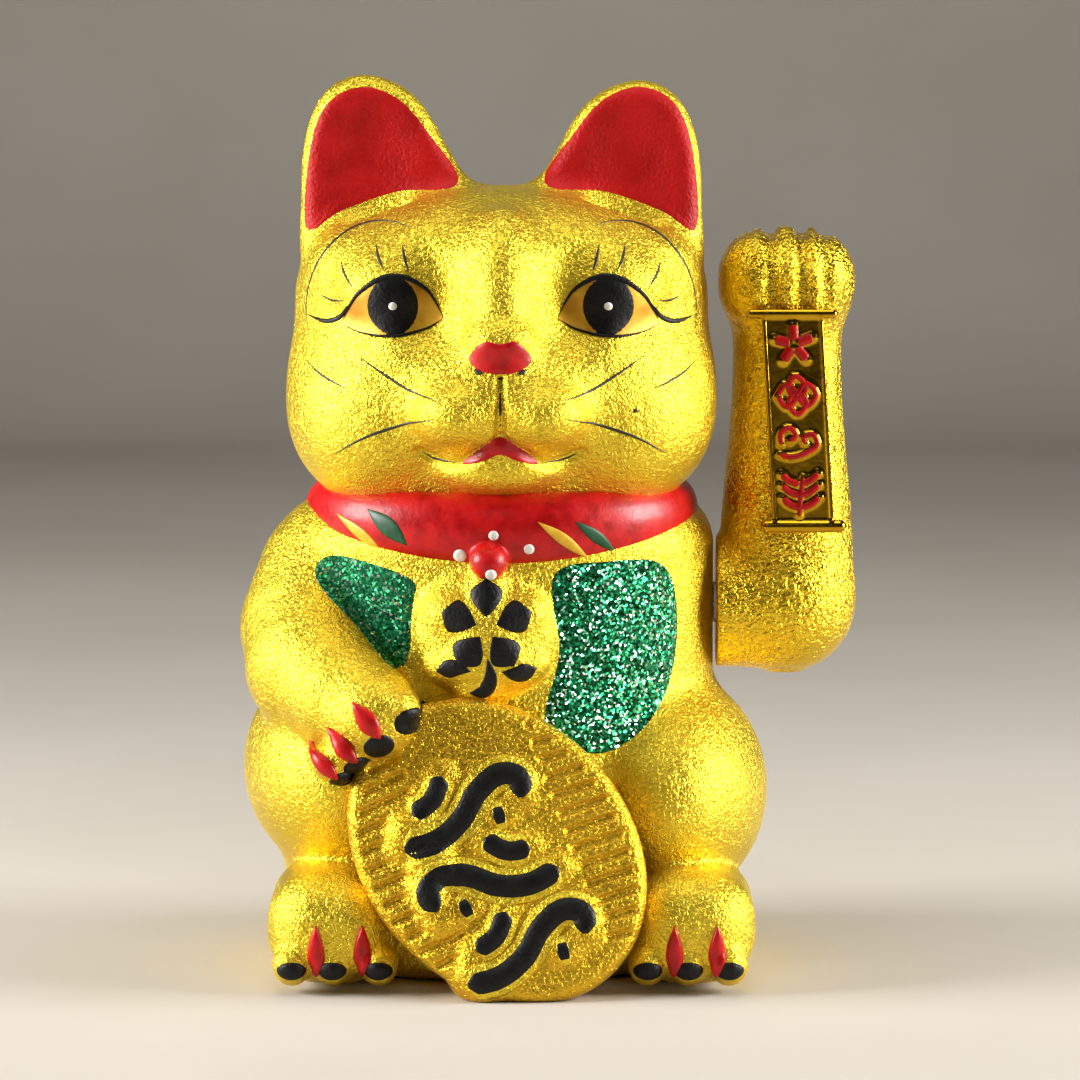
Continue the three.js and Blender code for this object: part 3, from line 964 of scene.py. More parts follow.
# The coin's face has the same paint in a darker, redder copy: painted shade between and round its raised
# waves.
SHADED_COIN_GOLD = SandPaint(
    "sand_painted_gold_coin_painted_shade", "#94680b", "#e2b62c", 0.34, metallic=0.92, mottle_mm=26, grain_mm=0.9,
    grain_height_mm=0.55, uneven=0.05, relief_shade=0.5,
)
# Moulded ABS with an embossed hide, vacuum-plated gold: brighter, with a coarser relief.
# Its colour, darker in the relief's hollows and lighter on its grain, is painted shade and light.
PLATED_HIDE = SandPaint(
    "vacuum_plated_gold_hide_abs", "#b8840e", "#f6d036", 0.27, metallic=1.0, mottle_mm=18, grain_mm=1.2,
    grain_height_mm=0.85, uneven=0.05, relief_shade=0.6,
)
# The plaque is the same plating on smooth ABS: a deep mirror gloss with a faint ripple.
PLATED_SMOOTH = Finish(
    "vacuum_plated_gold_smooth_abs", "#b58a1a", "#c79a22", 0.14, metallic=1.0, mottle_mm=8, grain_mm=3.0,
    grain_height_mm=0.05, uneven=0.04,
)
# Brushed-on gloss enamels: thick, slightly streaky, with a wet sheen.
RED_ENAMEL = Finish(
    "brushed_red_gloss_enamel", "#a50306", "#c9070a", 0.4, mottle_mm=5, grain_mm=1.6, grain_height_mm=0.12,
    coat=0.15, coat_roughness=0.2, specular=0.3,
)
EAR_RED = Finish(
    "brushed_red_satin_enamel", "#a80505", "#c20a0a", 0.52, mottle_mm=12, grain_mm=1.0, grain_height_mm=0.35,
    uneven=0.06, specular=0.25,
)
BLACK_ENAMEL = Finish(
    "brushed_black_satin_enamel", "#020202", "#070707", 0.5, mottle_mm=4, grain_mm=1.1, grain_height_mm=0.25,
    specular=0.3,
)
# Thin brushed enamels lie flatter and drier, with a faint streak of colour.
LINE_INK = Finish("brushed_dark_line_enamel", "#1c1a10", "#2b2a1c", 0.5, mottle_mm=3)
WHITE_ENAMEL = Finish("dotted_white_enamel", "#e6e6da", "#f4f4ea", 0.4, mottle_mm=2)
YELLOW_ENAMEL = Finish("brushed_yellow_enamel", "#d9a41c", "#e8bc2a", 0.42, mottle_mm=3)
GREEN_ENAMEL = Finish("brushed_green_enamel", "#034022", "#07522c", 0.42, mottle_mm=3)
EYE_GOLD = Finish("brushed_amber_eye_enamel", "#c4820a", "#edb930", 0.42, metallic=0.35, mottle_mm=9)
# Loose glitter glued on: hard green flakes, with a few pale and white ones that are painted glints.
GREEN_GLITTER = Glitter("glued_green_glitter", "#05351d", "#0a7043", 0.3, metallic=0.75, flake_mm=0.62)


# ---------------------------------------------------------------- studio
@dataclass(frozen=True)
class SoftLight:
    """A square soft light aimed at the figure."""

    name: str
    at: Point
    size: float
    watts: float
    tint: str = "#ffffff"


@dataclass
class Studio:
    """Pale floor and backdrop, soft lights and the camera. Metres here."""

    target: Point = (0.0111, 0.0, 0.1216)
    elevation: float = 7.0
    distance: float = 1.6
    lens_mm: float = 183.3
    lights: tuple[SoftLight, ...] = (
        SoftLight("left_softbox", (-0.98, -0.16, 0.4), 0.5, 19.0),
        SoftLight("right_softbox", (1.0, -0.12, 0.38), 0.5, 17.5),
        SoftLight("front_fill", (-0.1, -1.3, 0.85), 0.4, 0.5),
        SoftLight("top_soft", (0.0, -0.1, 1.05), 0.7, 4.2),
    )

    def build(self) -> None:
        """Makes the world, lights, floor and camera."""
        world = bpy.data.worlds.new("studio")
        bpy.context.scene.world = world
        world.use_nodes = True
        world.node_tree.nodes["Background"].inputs["Color"].default_value = linear("#c9c2b6")
        world.node_tree.nodes["Background"].inputs["Strength"].default_value = 0.045
        for light in self.lights:
            data = bpy.data.lights.new(light.name, "AREA")
            data.size = light.size
            data.energy = light.watts
            data.color = linear(light.tint)[:3]
            lamp = bpy.data.objects.new(light.name, data)
            bpy.context.scene.collection.objects.link(lamp)
            lamp.location = light.at
            aim = np.array((0.0, 0.0, 0.12)) - np.array(light.at)
            lamp.rotation_euler = direction(aim).to_track_quat("-Z", "Y").to_euler()
        self.floor()
        camera = bpy.data.objects.new("camera", bpy.data.cameras.new("camera"))
        bpy.context.scene.collection.objects.link(camera)
        tilt = math.radians(self.elevation)
        back = np.array((0.0, -math.cos(tilt), math.sin(tilt)))
        camera.location = np.array(self.target) + back * self.distance
        camera.rotation_euler = direction(-back).to_track_quat("-Z", "Y").to_euler()
        camera.data.lens = self.lens_mm
        camera.data.sensor_width = 36.0
        bpy.context.scene.camera = camera

    def floor(self) -> None:
        """A floor that sweeps up into a backdrop: a profile carried sideways.

        The profile is flat, then a quarter circle of radius 0.5 m, then upright.
        """
        angle = np.linspace(0, math.pi / 2, 24)
        sweep = np.stack([1.4 + 0.5 * np.sin(angle), 0.5 - 0.5 * np.cos(angle)], axis=1)
        profile = np.concatenate([[[-2.5, 0.0]], sweep, [[1.9, 2.4]]])
        sides = np.array([-3.0, 3.0])
        points = np.array([[x, y, z] for y, z in profile for x in sides])
        faces = grid_faces(len(profile), 2, False)
        mesh = bpy.data.meshes.new("floor")
        mesh.from_pydata(points.tolist(), [], faces.tolist())
        mesh.polygons.foreach_set("use_smooth", np.ones(len(faces), bool))
        paper = Finish("matt_paper_backdrop", "#bdb5a8", "#c4bcb0", 0.85, mottle_mm=300)
        mesh.materials.append(paper.material())
        floor = bpy.data.objects.new("floor", mesh)
        bpy.context.scene.collection.objects.link(floor)


def direction(vector: Array) -> Vector:
    """A Blender vector from three numbers."""
    return Vector([float(v) for v in vector])


# ---------------------------------------------------------------- painted details
# How deep under the skin the back of an enamel piece lies, so that no edge of it floats.
BURIED_MM = 0.4


class Tip(Enum):
    """How a painted line ends."""

    ROUND = 0.5
    POINTED = 1.0


@dataclass
class Painter:
    """Lays thin closed pieces of enamel on a clay skin, and gathers them into one piece for each finish."""

    clay: Clay
    shells: list[tuple[Array, Array]] = field(default_factory=list)

    def shell(self, spots: Array, lift: Array) -> None:
        """Keeps one closed lens of enamel, as rings of (across, up) spots and the height at each."""
        self.shells.append((spots, np.broadcast_to(lift, spots.shape[:2])))

    def fill(self, outline: Sequence[Flat], height: float, rings: int = 7, around: int = 72) -> "Painter":
        """Paints a closed outline: rings shrink from the rim to the middle, above the skin and below it.

        The ring at angle a from 0 to 180 degrees is the rim scaled by sin a about its middle.

        Args:
            outline: the outline's corners, (across, up) in mm.
            height: the enamel's thickness in mm.
            rings: how many rings on each side of the skin.
            around: how many points in a ring.

        Returns:
            The painter itself.
        """
        rim = smooth_path(outline, around, closed=True)
        middle = (rim.max(axis=0) + rim.min(axis=0)) / 2
        share = np.sin(np.linspace(0.04, math.pi - 0.04, 2 * rings))[:, None, None]
        lift = np.where(np.arange(2 * rings) < rings, height, -BURIED_MM) * (1 - share[:, 0, 0] ** 6)
        spots = middle + share * (rim - middle)
        self.shell(spots, lift[:, None])
        return self

    def oval(self, at: Flat, half: Flat, height: float, turn: float = 0.0) -> "Painter":
        """Paints an oval.

        Args:
            at: its middle.
            half: its half axes in mm.
            height: the enamel's thickness in mm.
            turn: degrees that it is turned.

        Returns:
            The painter itself.
        """
        angle = np.linspace(0, 2 * math.pi, 16, endpoint=False)
        c, s = math.cos(math.radians(turn)), math.sin(math.radians(turn))
        x, z = half[0] * np.cos(angle), half[1] * np.sin(angle)
        across, up = at[0] + x * c - z * s, at[1] + x * s + z * c
        return self.fill(list(zip(across.tolist(), up.tolist())), height, 5, 32)

    def line(self, trace: Trace, height: float, tip: Tip = Tip.POINTED, belly: float = 0.5) -> "Painter":
        """Paints a line: a lens section carried along a smooth path, thinning to its tips.

        Args:
            trace: the line.
            height: the enamel's thickness in mm.
            tip: how it ends.
            belly: where along it the line is widest.

        Returns:
            The painter itself.
        """
        count = max(14, 6 * len(trace.path))
        path = smooth_path(trace.path, count)
        share = np.linspace(0.0, 1.0, count)
        share = np.where(share < belly, 0.5 * share / belly, 0.5 + 0.5 * (share - belly) / (1 - belly))
        swell = np.sin(math.pi * np.clip(share, 0.004, 0.996))
        swell = swell if tip is Tip.POINTED else np.minimum(1, swell * count / 7) ** 0.5
        along = np.gradient(path, axis=0)
        side = np.stack([along[:, 1], -along[:, 0]], axis=1) / np.linalg.norm(along, axis=1, keepdims=True)
        angle = np.linspace(0, 2 * math.pi, 12, endpoint=False)
        across = trace.width / 2 * swell[:, None] * np.cos(angle)
        lift = np.where(np.sin(angle) > 0, height, BURIED_MM) * np.sin(angle)
        lift = lift * np.minimum(1, 3 * swell)[:, None]
        self.shell(path[:, None] + across[..., None] * side[:, None], lift)
        return self

    def lines(self, traces: Sequence[Trace], height: float, tip: Tip = Tip.POINTED) -> "Painter":
        """Paints several lines alike."""
        for trace in traces:
            self.line(trace, height, tip)
        return self

    def done(self, name: str, finish: "Finish", place: Place) -> bpy.types.Object:
        """Makes one piece of all that was painted since the last one.

        Args:
            name: the piece's name.
            finish: its enamel.
            place: where it belongs.

        Returns:
            The piece.
        """
        spots = np.concatenate([rings.reshape(-1, 2) for rings, _ in self.shells])
        laid = self.clay.lay(spots, np.concatenate([lift.ravel() for _, lift in self.shells]))
        all_points, all_faces, used, start = [], [], 0, 0
        for rings, _ in self.shells:
            count = rings.shape[0] * rings.shape[1]
            points, faces = capped_tube(laid[used : used + count].reshape(*rings.shape[:2], 3))
            first, second, third = np.moveaxis(points[faces[:, :3]] - points[0], 1, 0)
            volume = np.einsum("ij,ij->", first, np.cross(second, third))
            all_points.append(points)
            all_faces.append((faces if volume > 0 else faces[:, ::-1]) + start)
            used, start = used + count, start + len(points)
        points, faces = np.concatenate(all_points), np.concatenate(all_faces)
        self.shells = []
        return merged(make_piece(name, points, faces, finish.material(), place))


# ---------------------------------------------------------------- the ceramic
CERAMIC = Place("figure", "gold_painted_ceramic", ("body_casting",))
# Painted marks, as (across, up) in mm. Those on the face are given on +X and mirrored.
EYE_X, EYE_Z = 30.3, 193.4
EAR_OUTLINE: tuple[Flat, ...] = (
    (8.5, 216), (17, 238), (26, 251), (39, 256.2), (50, 252), (56, 240), (57.6, 222), (55, 204), (30, 198),
)
EAR_RED_OUTLINE: tuple[Flat, ...] = (
    (12.5, 226), (21, 240.5), (29.5, 250), (40, 253.5), (50, 248.5), (55, 235), (56, 213), (46, 218),
    (30, 223.5),
)
NOSE_HALF: tuple[Flat, ...] = ((0, 184.1), (4, 184.8), (7.2, 182.4), (8.8, 179), (5.5, 176.3), (0, 175.4))
MOUTH_HALF: tuple[Flat, ...] = ((0, 157.6), (4.6, 155), (11, 149.4), (5, 150.4), (0, 152.4))
BIBS: tuple[tuple[Flat, ...], ...] = (
    ((-53, 115), (-47, 121), (-26, 116), (-25, 108), (-28, 90.5), (-42, 103)),
    ((15, 117), (30, 120.5), (46.5, 118), (50.5, 100), (46, 79), (31, 66), (15.5, 70), (12.5, 78),
     (16.5, 95)),
)
TOE_TIPS: tuple[Flat, ...] = ((-24.5, 80), (-33.5, 73), (-39.5, 66.5), (-44, 62.5))
FOOT_TOES: tuple[float, ...] = (-59, -47.5, -34.5, 41.5, 53, 64.5)
FOOT_CLAWS: tuple[float, ...] = (-52, -39, 49, 61)
COLLAR_YELLOW_X: tuple[float, ...] = (-40, 17.5)
COLLAR_GREENS: tuple[tuple[Flat, float], ...] = (((-32, 130.5), 5.2), ((27, 128), 3.4))
COLLAR_DOTS: tuple[tuple[Flat, float], ...] = (
    ((-2, 129), 1.4), ((-11.5, 123), 1.9), ((8, 125), 1.5), ((-2.7, 118.4), 1.6),
)


def mirrored(half: Sequence[Flat]) -> tuple[Flat, ...]:
    """A closed outline from its +X half, which starts and ends on the middle line."""
    return (*half, *((-x, z) for x, z in half[-2:0:-1]))


def both_sides(*traces: Trace) -> tuple[Trace, ...]:
    """Lines and their mirror images across the middle of the face."""
    return (*traces, *(Trace(tuple((-x, z) for x, z in t.path), t.width) for t in traces))


def lid(rise: float, share: tuple[float, float] = (0.0, 1.0)) -> tuple[Flat, ...]:
    """One edge of the +X eye: a straight chord between its corners, plus rise times a blunted half sine.

    Args:
        rise: how far the edge stands off the chord in mm, negative below it.
        share: where along the chord it starts and stops.

    Returns:
        Nine points along the edge.
    """
    inner, outer, blunt = (16.0, 190.0), (45.0, 188.0), 0.65
    along = np.linspace(*share, 9)
    x = inner[0] + (outer[0] - inner[0]) * along
    z = inner[1] + (outer[1] - inner[1]) * along + rise * np.clip(np.sin(math.pi * along), 0, 1) ** blunt
    return tuple(zip(x.tolist(), z.tolist()))


def brow(start: float, stop: float) -> tuple[Flat, ...]:
    """The line round the +X brow: an oval about the eye, between two angles in degrees."""
    angle = np.radians(np.linspace(start, stop, 9))
    return tuple(zip((33 + 22.8 * np.cos(angle)).tolist(), (190 + 26.5 * np.sin(angle)).tolist()))


LID_RISE, LID_DIP = 12.8, -4.0
LIDS = both_sides(
    Trace(lid(LID_RISE), 1.6),
    Trace(((42.5, 194), (45.5, 189.6), (50, 188), (55.5, 189.2)), 1.5),
    Trace(lid(LID_DIP), 0.9),
)
LASHES = both_sides(
    Trace(((27.8, 210.6), (27, 206.4), (25.7, 202.6)), 0.88),
    Trace(((35.2, 210.6), (34.4, 206.6), (32.6, 202.9)), 0.88),
    Trace(((45.4, 205.6), (44, 201.6), (41.4, 197.8)), 0.76),
    Trace(((51.5, 195.4), (48, 194), (44, 194.4)), 0.7),
)
BROWS = both_sides(Trace(brow(115, -14), 0.55))
WHISKERS = both_sides(
    Trace(((56, 177), (50.5, 173), (42.5, 169.6)), 0.75),
    Trace(((41.5, 180), (33, 174.5), (25, 170), (16.5, 168)), 0.88),
    Trace(((48, 150.5), (39, 156), (28.5, 160), (17, 163.6)), 0.88),
)
NOSTRILS = (
    *both_sides(Trace(((7.4, 176.9), (6.2, 176), (4.8, 175.7)), 1.4)),
    Trace(((0, 174.8), (0, 173.6)), 1.6),
)
MOUTH_LINES = (
    Trace(((0, 173.8), (0, 166), (0, 158)), 0.7),
    *both_sides(Trace(((22.5, 152.4), (18, 150.2), (12, 149.6)), 0.7)),
)
MOUTH_CREASES = (
    Trace(((0, 174.4), (0, 166), (0, 157.4)), 2.2),
    *both_sides(Trace(((22.5, 152.2), (18, 150), (12.5, 149), (6.6, 152.6), (0, 156.7)), 2.4)),
)
FRECKLE: tuple[Flat, Flat] = ((38, 164), (0.7, 0.7))


def blossom(at: Flat, reach: float, width: float, petals: int = 5) -> tuple[Trace, ...]:
    """Short strokes that leave a ring round a middle, as petals do.

    Args:
        at: the middle.
        reach: how far the petals reach from it in mm.
        width: how wide a petal is.
        petals: how many, the first upright.

    Returns:
        One line for each petal.
    """
    made = []
    for number in range(petals):
        angle = math.radians(90 + number * 360 / petals)
        c, s = math.cos(angle), math.sin(angle)
        path = tuple((at[0] + r * reach * c, at[1] + r * reach * s) for r in (0.22, 0.62, 1.0))
        made.append(Trace(path, width))
    return tuple(made)


def placed_trace(trace: Trace, at: Flat, turn: float, scale: float = 1.0, flip: bool = False) -> Trace:
    """A line mirrored, scaled, turned and moved, in that order.

    Args:
        trace: the line.
        at: where its own zero goes.
        turn: degrees.
        scale: for its path and its width.
        flip: whether it is mirrored left to right.

    Returns:
        The new line.
    """
    c, s = math.cos(math.radians(turn)) * scale, math.sin(math.radians(turn)) * scale
    side = -1 if flip else 1
    path = tuple((at[0] + side * x * c - z * s, at[1] + side * x * s + z * c) for x, z in trace.path)
    return Trace(path, trace.width * scale)


@dataclass
class Head:
    """The cat's head and ears, down to where the collar hides its neck."""

    cell: float = 1.0
    cheek: Point = (27.5, 32.0, 25.5)
    ear_thick: float = 13.0

    def clay(self) -> Clay:
        """Skull, brow, jaw and muzzle, with the ears as dished plates."""
        made = Clay()
        # The skull, its wide crown and forehead, the cheeks and the neck.
        made.add(Lump((0, -4, 175.5), (60.6, 51, 44)))
        made.add(Lump((0, -1, 197), (58.5, 43, 26.5)), 10)
        made.add(Lump((0, -16, 203.5), (52, 28, 18)), 10)
        for side in (-1, 1):
            made.add(Lump((side * 33, -14, 158.5), self.cheek), 12)
        made.add(Drum((0, 0), (50, 43), 120, 150, 3), 6)
        # The bridge of the nose, and on each side an eye socket with its full lid.
        made.add(Lump((0, -42, 187), (10.5, 16, 33), (-7, 0, 0)), 8)
        for side in (-1, 1):
            made.cut(Lump((side * 22.5, -57.8, 198.5), (11, 16.6, 20), (0, side * 12, 0)), 8)
            made.add(Lump((side * 29.5, -33, 197.5), (15.5, 11.5, 11)), 6)
        # The muzzle, its two whisker pads, the nose and the chin.
        made.add(Lump((0, -42, 166), (26.5, 18.5, 15.5)), 8)
        for side in (-1, 1):
            made.add(Lump((side * 11.5, -51.2, 163.8), (13, 13, 10.5)), 3)
        made.add(Lump((0, -55, 184.5), (8.8, 6.5, 5.4)), 4)
        made.add(Lump((-0.5, -41, 148.5), (18, 13, 9)), 5)
        # The ears, one a little higher than the other.
        for side, rise in ((-1, 0.6), (1, -1.0)):
            smooth = smooth_path(EAR_OUTLINE, 44, closed=True)
            outline = tuple((side * x, z + rise) for x, z in smooth.tolist())
            made.add(Plate((0, -3.5, 0), outline, self.ear_thick, 5.0), 7)
            made.cut(Lump((side * 37.0, -16.3, 234 + rise), (17, 8.3, 22), (0, -side * 14, 0)), 2.0)
        made.keep(Beyond((0, 0, 126), (0, 0, -1)))
        return made.raised(MOUTH_CREASES, -1.5, 1.8)

    def build(self) -> None:
        """Makes the head's skin and its painted features."""
        clay = self.clay()
        points, faces = level_skin(clay, (-66, -68, 125), (66, 52, 262), self.cell)
        make_piece("head_skin", points, faces, SAND_GOLD.material(), CERAMIC)
        brush = Painter(clay)
        for side in (-1, 1):
            brush.fill([(side * x, z) for x, z in EAR_RED_OUTLINE], 0.45, 18, 110)
        brush.done("ear_enamel", EAR_RED, CERAMIC)
        brush.fill(mirrored(NOSE_HALF), 0.5).fill(mirrored(MOUTH_HALF), 0.5)
        brush.done("nose_and_mouth_enamel", RED_ENAMEL, CERAMIC)
        eye = (*lid(LID_RISE), *lid(LID_DIP, (0.88, 0.12)))
        for side in (-1, 1):
            brush.fill([(side * x, z) for x, z in eye], 0.2, 10, 90)
        brush.done("eye_amber_enamel", EYE_GOLD, CERAMIC)
        for side in (-1, 1):
            brush.oval((side * EYE_X, EYE_Z), (8.0, 8.5), 0.4)
        brush.lines(LIDS, 0.55)
        brush.done("iris_enamel", BLACK_ENAMEL, CERAMIC)
        for side in (-1, 1):
            brush.oval((side * EYE_X, EYE_Z), (1.3, 1.3), 0.75)
        brush.done("eye_glint_enamel", WHITE_ENAMEL, CERAMIC)
        brush.lines(LASHES, 0.2).lines(WHISKERS, 0.2).lines(NOSTRILS, 0.3)
        brush.lines(BROWS, 0.12).lines(MOUTH_LINES, 0.15)
        brush.oval(*FRECKLE, 0.2)
        brush.done("whisker_enamel", LINE_INK, CERAMIC)


@dataclass
class Trunk:
    """The seated body, haunches, feet, resting arm, medallion and tail."""

    cell: float = 1.15
    seal_at: Flat = (-4.0, 99.5)

    def clay(self) -> Clay:
        """The trunk's forms, from the seat up."""
        made = Clay()
        # The seat, the belly and the chest.
        made.add(Drum((0, 2), (66, 54), 0, 60, 8, 6))
        made.add(Lump((0, 3, 56), (60, 52, 52)), 8)
        made.add(Drum((0, 1), (61.5, 48), 62, 136, 15), 10)
        # The haunches, the one under the plated arm lower so that the arm clears it, and the feet.
        made.add(Lump((-44.5, -5, 57), (30.5, 46, 32.5)), 7)
        made.add(Lump((47, -5, 50), (30.2, 46, 34)), 5)
        for x in (-48, 54):
            made.add(Block((x, -40, 17.5), (18.3, 25.5, 16.2), 14.5), 3)
        # The medallion, the resting arm and the toes.
        made.add(Lump((-4.2, -44, 101.5), (20.5, 10, 20.5), (-8, 0, 0)), 1.5)
        arm = ((-46, -5, 110), (-51.5, -14, 98), (-52, -27, 89), (-44, -43, 82.5), (-36, -53, 78.5))
        made.add(Chain(arm, (25, 24, 21.5, 16.5, 13.5), 30), 5)
        for number, (x, z) in enumerate(TOE_TIPS):
            made.add(Lump((x - 4, -58.5 + number * 1.0, z + 2.2), (6.6, 7.5, 4.9), (0, 38, 0)), 1.5)
        for x in FOOT_TOES:
            made.add(Lump((x, -59.5, 8.2), (5.6, 6.8, 6.2)), 1.6)
        # The tail, and the recess that holds the base cover.
        made.add(Lump((24, 48, 24), (10, 9, 17), (-8, -20, 0)), 5)
        made.cut(Drum((0, 0), (48, 40), -6, 6, 0.5))
        made.keep(Beyond((0, 0, 0), (0, 0, -1)), 1.5)
        return made.raised(self.seal(), 1.9, 1.3, 2.8)

    def seal(self) -> tuple[Trace, ...]:
        """The medallion's brush blossom: five petals, two leaves under them and a curled stem."""
        x, z = self.seal_at
        leaf = Trace(((-1, -0.6), (3.4, 0.8), (7.6, 4.4)), 5.4)
        leaves = [placed_trace(leaf, (x + a, z + b), t) for a, b, t in ((5.5, -8.5, -26), (-5.5, -8.5, 152))]
        stem = Trace(((x + 0.3, z - 4.5), (x + 1.2, z - 10), (x - 0.5, z - 14.2), (x - 5.0, z - 15.0)), 4.4)
        return (*blossom((x, z + 4.0), 13.4, 9.4), *leaves, stem)

    def build(self) -> None:
        """Makes the trunk's skin and its painted features."""
        clay = self.clay()
        points, faces = level_skin(clay, (-80, -74, -1.8), (80, 62, 140), self.cell)
        make_piece("trunk_skin", points, faces, SAND_GOLD.material(), CERAMIC)
        brush = Painter(clay)
        for outline in BIBS:
            brush.fill(outline, 0.5, 12, 120)
        brush.done("bib_glitter", GREEN_GLITTER, CERAMIC)
        for trace in self.seal():
            brush.line(trace, 0.35, Tip.POINTED, 0.62)
        for number, (x, z) in enumerate(TOE_TIPS):
            brush.oval((x - 0.6, z - 2), (4.8 - 0.3 * number, 4.0 - 0.4 * number), 0.5, 18)
        for x in FOOT_TOES:
            brush.oval((x, 7.2), (4.2, 2.7), 0.5)
        brush.done("seal_and_pad_enamel", BLACK_ENAMEL, CERAMIC)
        paw = []
        for number, (x, z) in enumerate(TOE_TIPS[1:]):
            root = (x - 8 - 1.2 * number, z + 11 - 1.5 * number)
            tip = (x - 0.8 * number, z + 0.4 - 0.8 * number)
            middle = ((root[0] + tip[0]) / 2, (root[1] + tip[1]) / 2)
            paw.append(Trace((root, middle, tip), 5.9 - 0.7 * number))
        foot = [Trace(((x, 20.5), (x, 12.6), (x, 4.8)), 5.0) for x in FOOT_CLAWS]
        for claw in paw + foot:
            brush.line(claw, 1.3, Tip.POINTED, 0.58)
        brush.done("claw_enamel", RED_ENAMEL, CERAMIC)


WAVE = (
    Trace(((-15.5, -4.5), (-8, -5.4), (-1, -3.2), (5, 1.5), (11, 3.6), (15.2, 1.2), (14.2, -3.2)), 5.6),
    Trace(((-11, 2.2), (-5.5, 3.6), (-1.5, 8.0)), 4.8),
    Trace(((6.5, -5.0), (9.4, -5.4)), 4.2),
)


@dataclass
class Coin:
    """The oval coin that leans on the belly, with chiselled lines and raised brush waves."""

    at: Point = (-1.0, -60.0, 40.6)
    half: Flat = (37.5, 47.5)
    thick: float = 11.0
    lean: float = -14.0
    turn: float = -42.0
    cell: float = 0.62
    slant: float = 21.0
    groove_gap: float = 5.2
    groove_ends: Flat = (-17.0, 21.0)

    def outline(self, inset: float = 0.0) -> tuple[Flat, ...]:
        """The oval, its long axis turned towards -X at the top.

        Args:
            inset: how far inside the rim in mm.

        Returns:
            Its corners about the coin's middle.
        """
        angle = np.linspace(0, 2 * math.pi, 72, endpoint=False)
        across, along = (self.half[0] - inset) * np.cos(angle), (self.half[1] - inset) * np.sin(angle)
        tilt = math.radians(-self.turn)
        x = across * math.cos(tilt) - along * math.sin(tilt)
        z = across * math.sin(tilt) + along * math.cos(tilt)
        return tuple(zip(x.tolist(), z.tolist()))

    def waves(self) -> tuple[Trace, ...]:
        """Three rows of the wave, leaning with the coin."""
        rows = (((-11.5, 54.0), False), ((-3.0, 35.5), True), ((6.5, 17.0), False))
        return tuple(placed_trace(t, at, self.slant, 1.2, flip) for at, flip in rows for t in WAVE)

    def cuts(self) -> tuple[Trace, ...]:
        """Chiselled lines from both sides towards the waves, and parallel with them."""
        made = []
        c, s = math.cos(math.radians(self.slant)), math.sin(math.radians(self.slant))
        rim = np.array(self.outline(4.5)) + np.array((self.at[0], self.at[2]))
        spun = (rim - np.array((self.at[0], self.at[2]))) @ np.array(((c, -s), (s, c)))
        for up in np.arange(-33, 36, self.groove_gap):
            level = spun[np.abs(spun[:, 1] - up) < 3.2]
            if not len(level):
                continue
            for edge, inner in zip((level[:, 0].min(), level[:, 0].max()), self.groove_ends):
                if abs(edge) < abs(inner):
                    continue
                ends = np.array(((edge, up), (inner, up + 0.8))) @ np.array(((c, s), (-s, c)))
                ends = ends + np.array((self.at[0], self.at[2]))
                made.append(Trace(tuple(map(tuple, ends[ends[:, 1].argsort()].tolist())), 2.6))
        return tuple(m for m in made if m.path[0][1] > 2)

    def clay(self) -> Clay:
        """The coin's slab with its grooves and raised waves."""
        made = Clay()
        made.add(Plate(self.at, self.outline(), self.thick, 4.0, (self.lean, 0, 0)))
        made.raised(self.cuts(), -1.2, 0.6).raised(self.waves(), 1.8, 1.4, 4.2)
        return made.keep(Beyond((0, 0, 0), (0, 0, -1)), 1.0)

    def build(self) -> None:
        """Makes the coin, the painted highlight round its waves and the black strokes on them."""
        clay = self.clay()
        points, faces = level_skin(clay, (-48, -84, -1.2), (46, -38, 86), self.cell)
        # The coin's face takes the darker, redder copy of the gold, as painted shade.
        make_piece("coin_skin", points, faces, SHADED_COIN_GOLD.material(), CERAMIC)
        brush = Painter(clay)
        # Rims of the body's lighter gold round each wave, under its black stroke: a painted highlight on the
        # raised edges.
        painted_highlight_rims = [Trace(trace.path, trace.width + 3.8) for trace in self.waves()]
        brush.lines(painted_highlight_rims, 0.25, Tip.ROUND).done("coin_wave_painted_highlight_rims", SAND_GOLD, CERAMIC)
        brush.lines(self.waves(), 0.6, Tip.ROUND)
        brush.done("coin_wave_enamel", BLACK_ENAMEL, CERAMIC)


@dataclass
class Collar:
    """The moulded collar and its bell, with brushed leaves and dots."""

    cell: float = 0.8

    def clay(self) -> Clay:
        """A tall rounded band, lower and taller at the front, and a ball."""
        made = Clay()
        made.add(Hoop((0, -1), (50.5, 43.0), 6.4, (131.4, 8.6), (130.0, 10.6)))
        made.add(Lump((-3.4, -49.6, 121.6), (5.6, 6.0, 5.4)), 1.2)
        return made

    def build(self) -> None:
        """Makes the band and the marks on it."""
        clay = self.clay()
        points, faces = level_skin(clay, (-59, -58, 117), (59, 51, 143), self.cell)
        make_piece("collar_band", points, faces, RED_ENAMEL.material(), CERAMIC)
        brush = Painter(clay)
        for x in COLLAR_YELLOW_X:
            brush.line(Trace(((x - 7, 132.8), (x, 127.8), (x + 7.5, 121.4)), 3.2), 0.3)
        brush.done("collar_yellow_enamel", YELLOW_ENAMEL, CERAMIC)
        for (x, z), wide in COLLAR_GREENS:
            brush.line(Trace(((x - 6, z + 4.6), (x, z), (x + 5.6, z - 5.2)), wide), 0.3)
        brush.done("collar_green_enamel", GREEN_ENAMEL, CERAMIC)
        for at, radius in COLLAR_DOTS:
            brush.oval(at, (radius, radius), 0.5)
        brush.done("collar_white_enamel", WHITE_ENAMEL, CERAMIC)


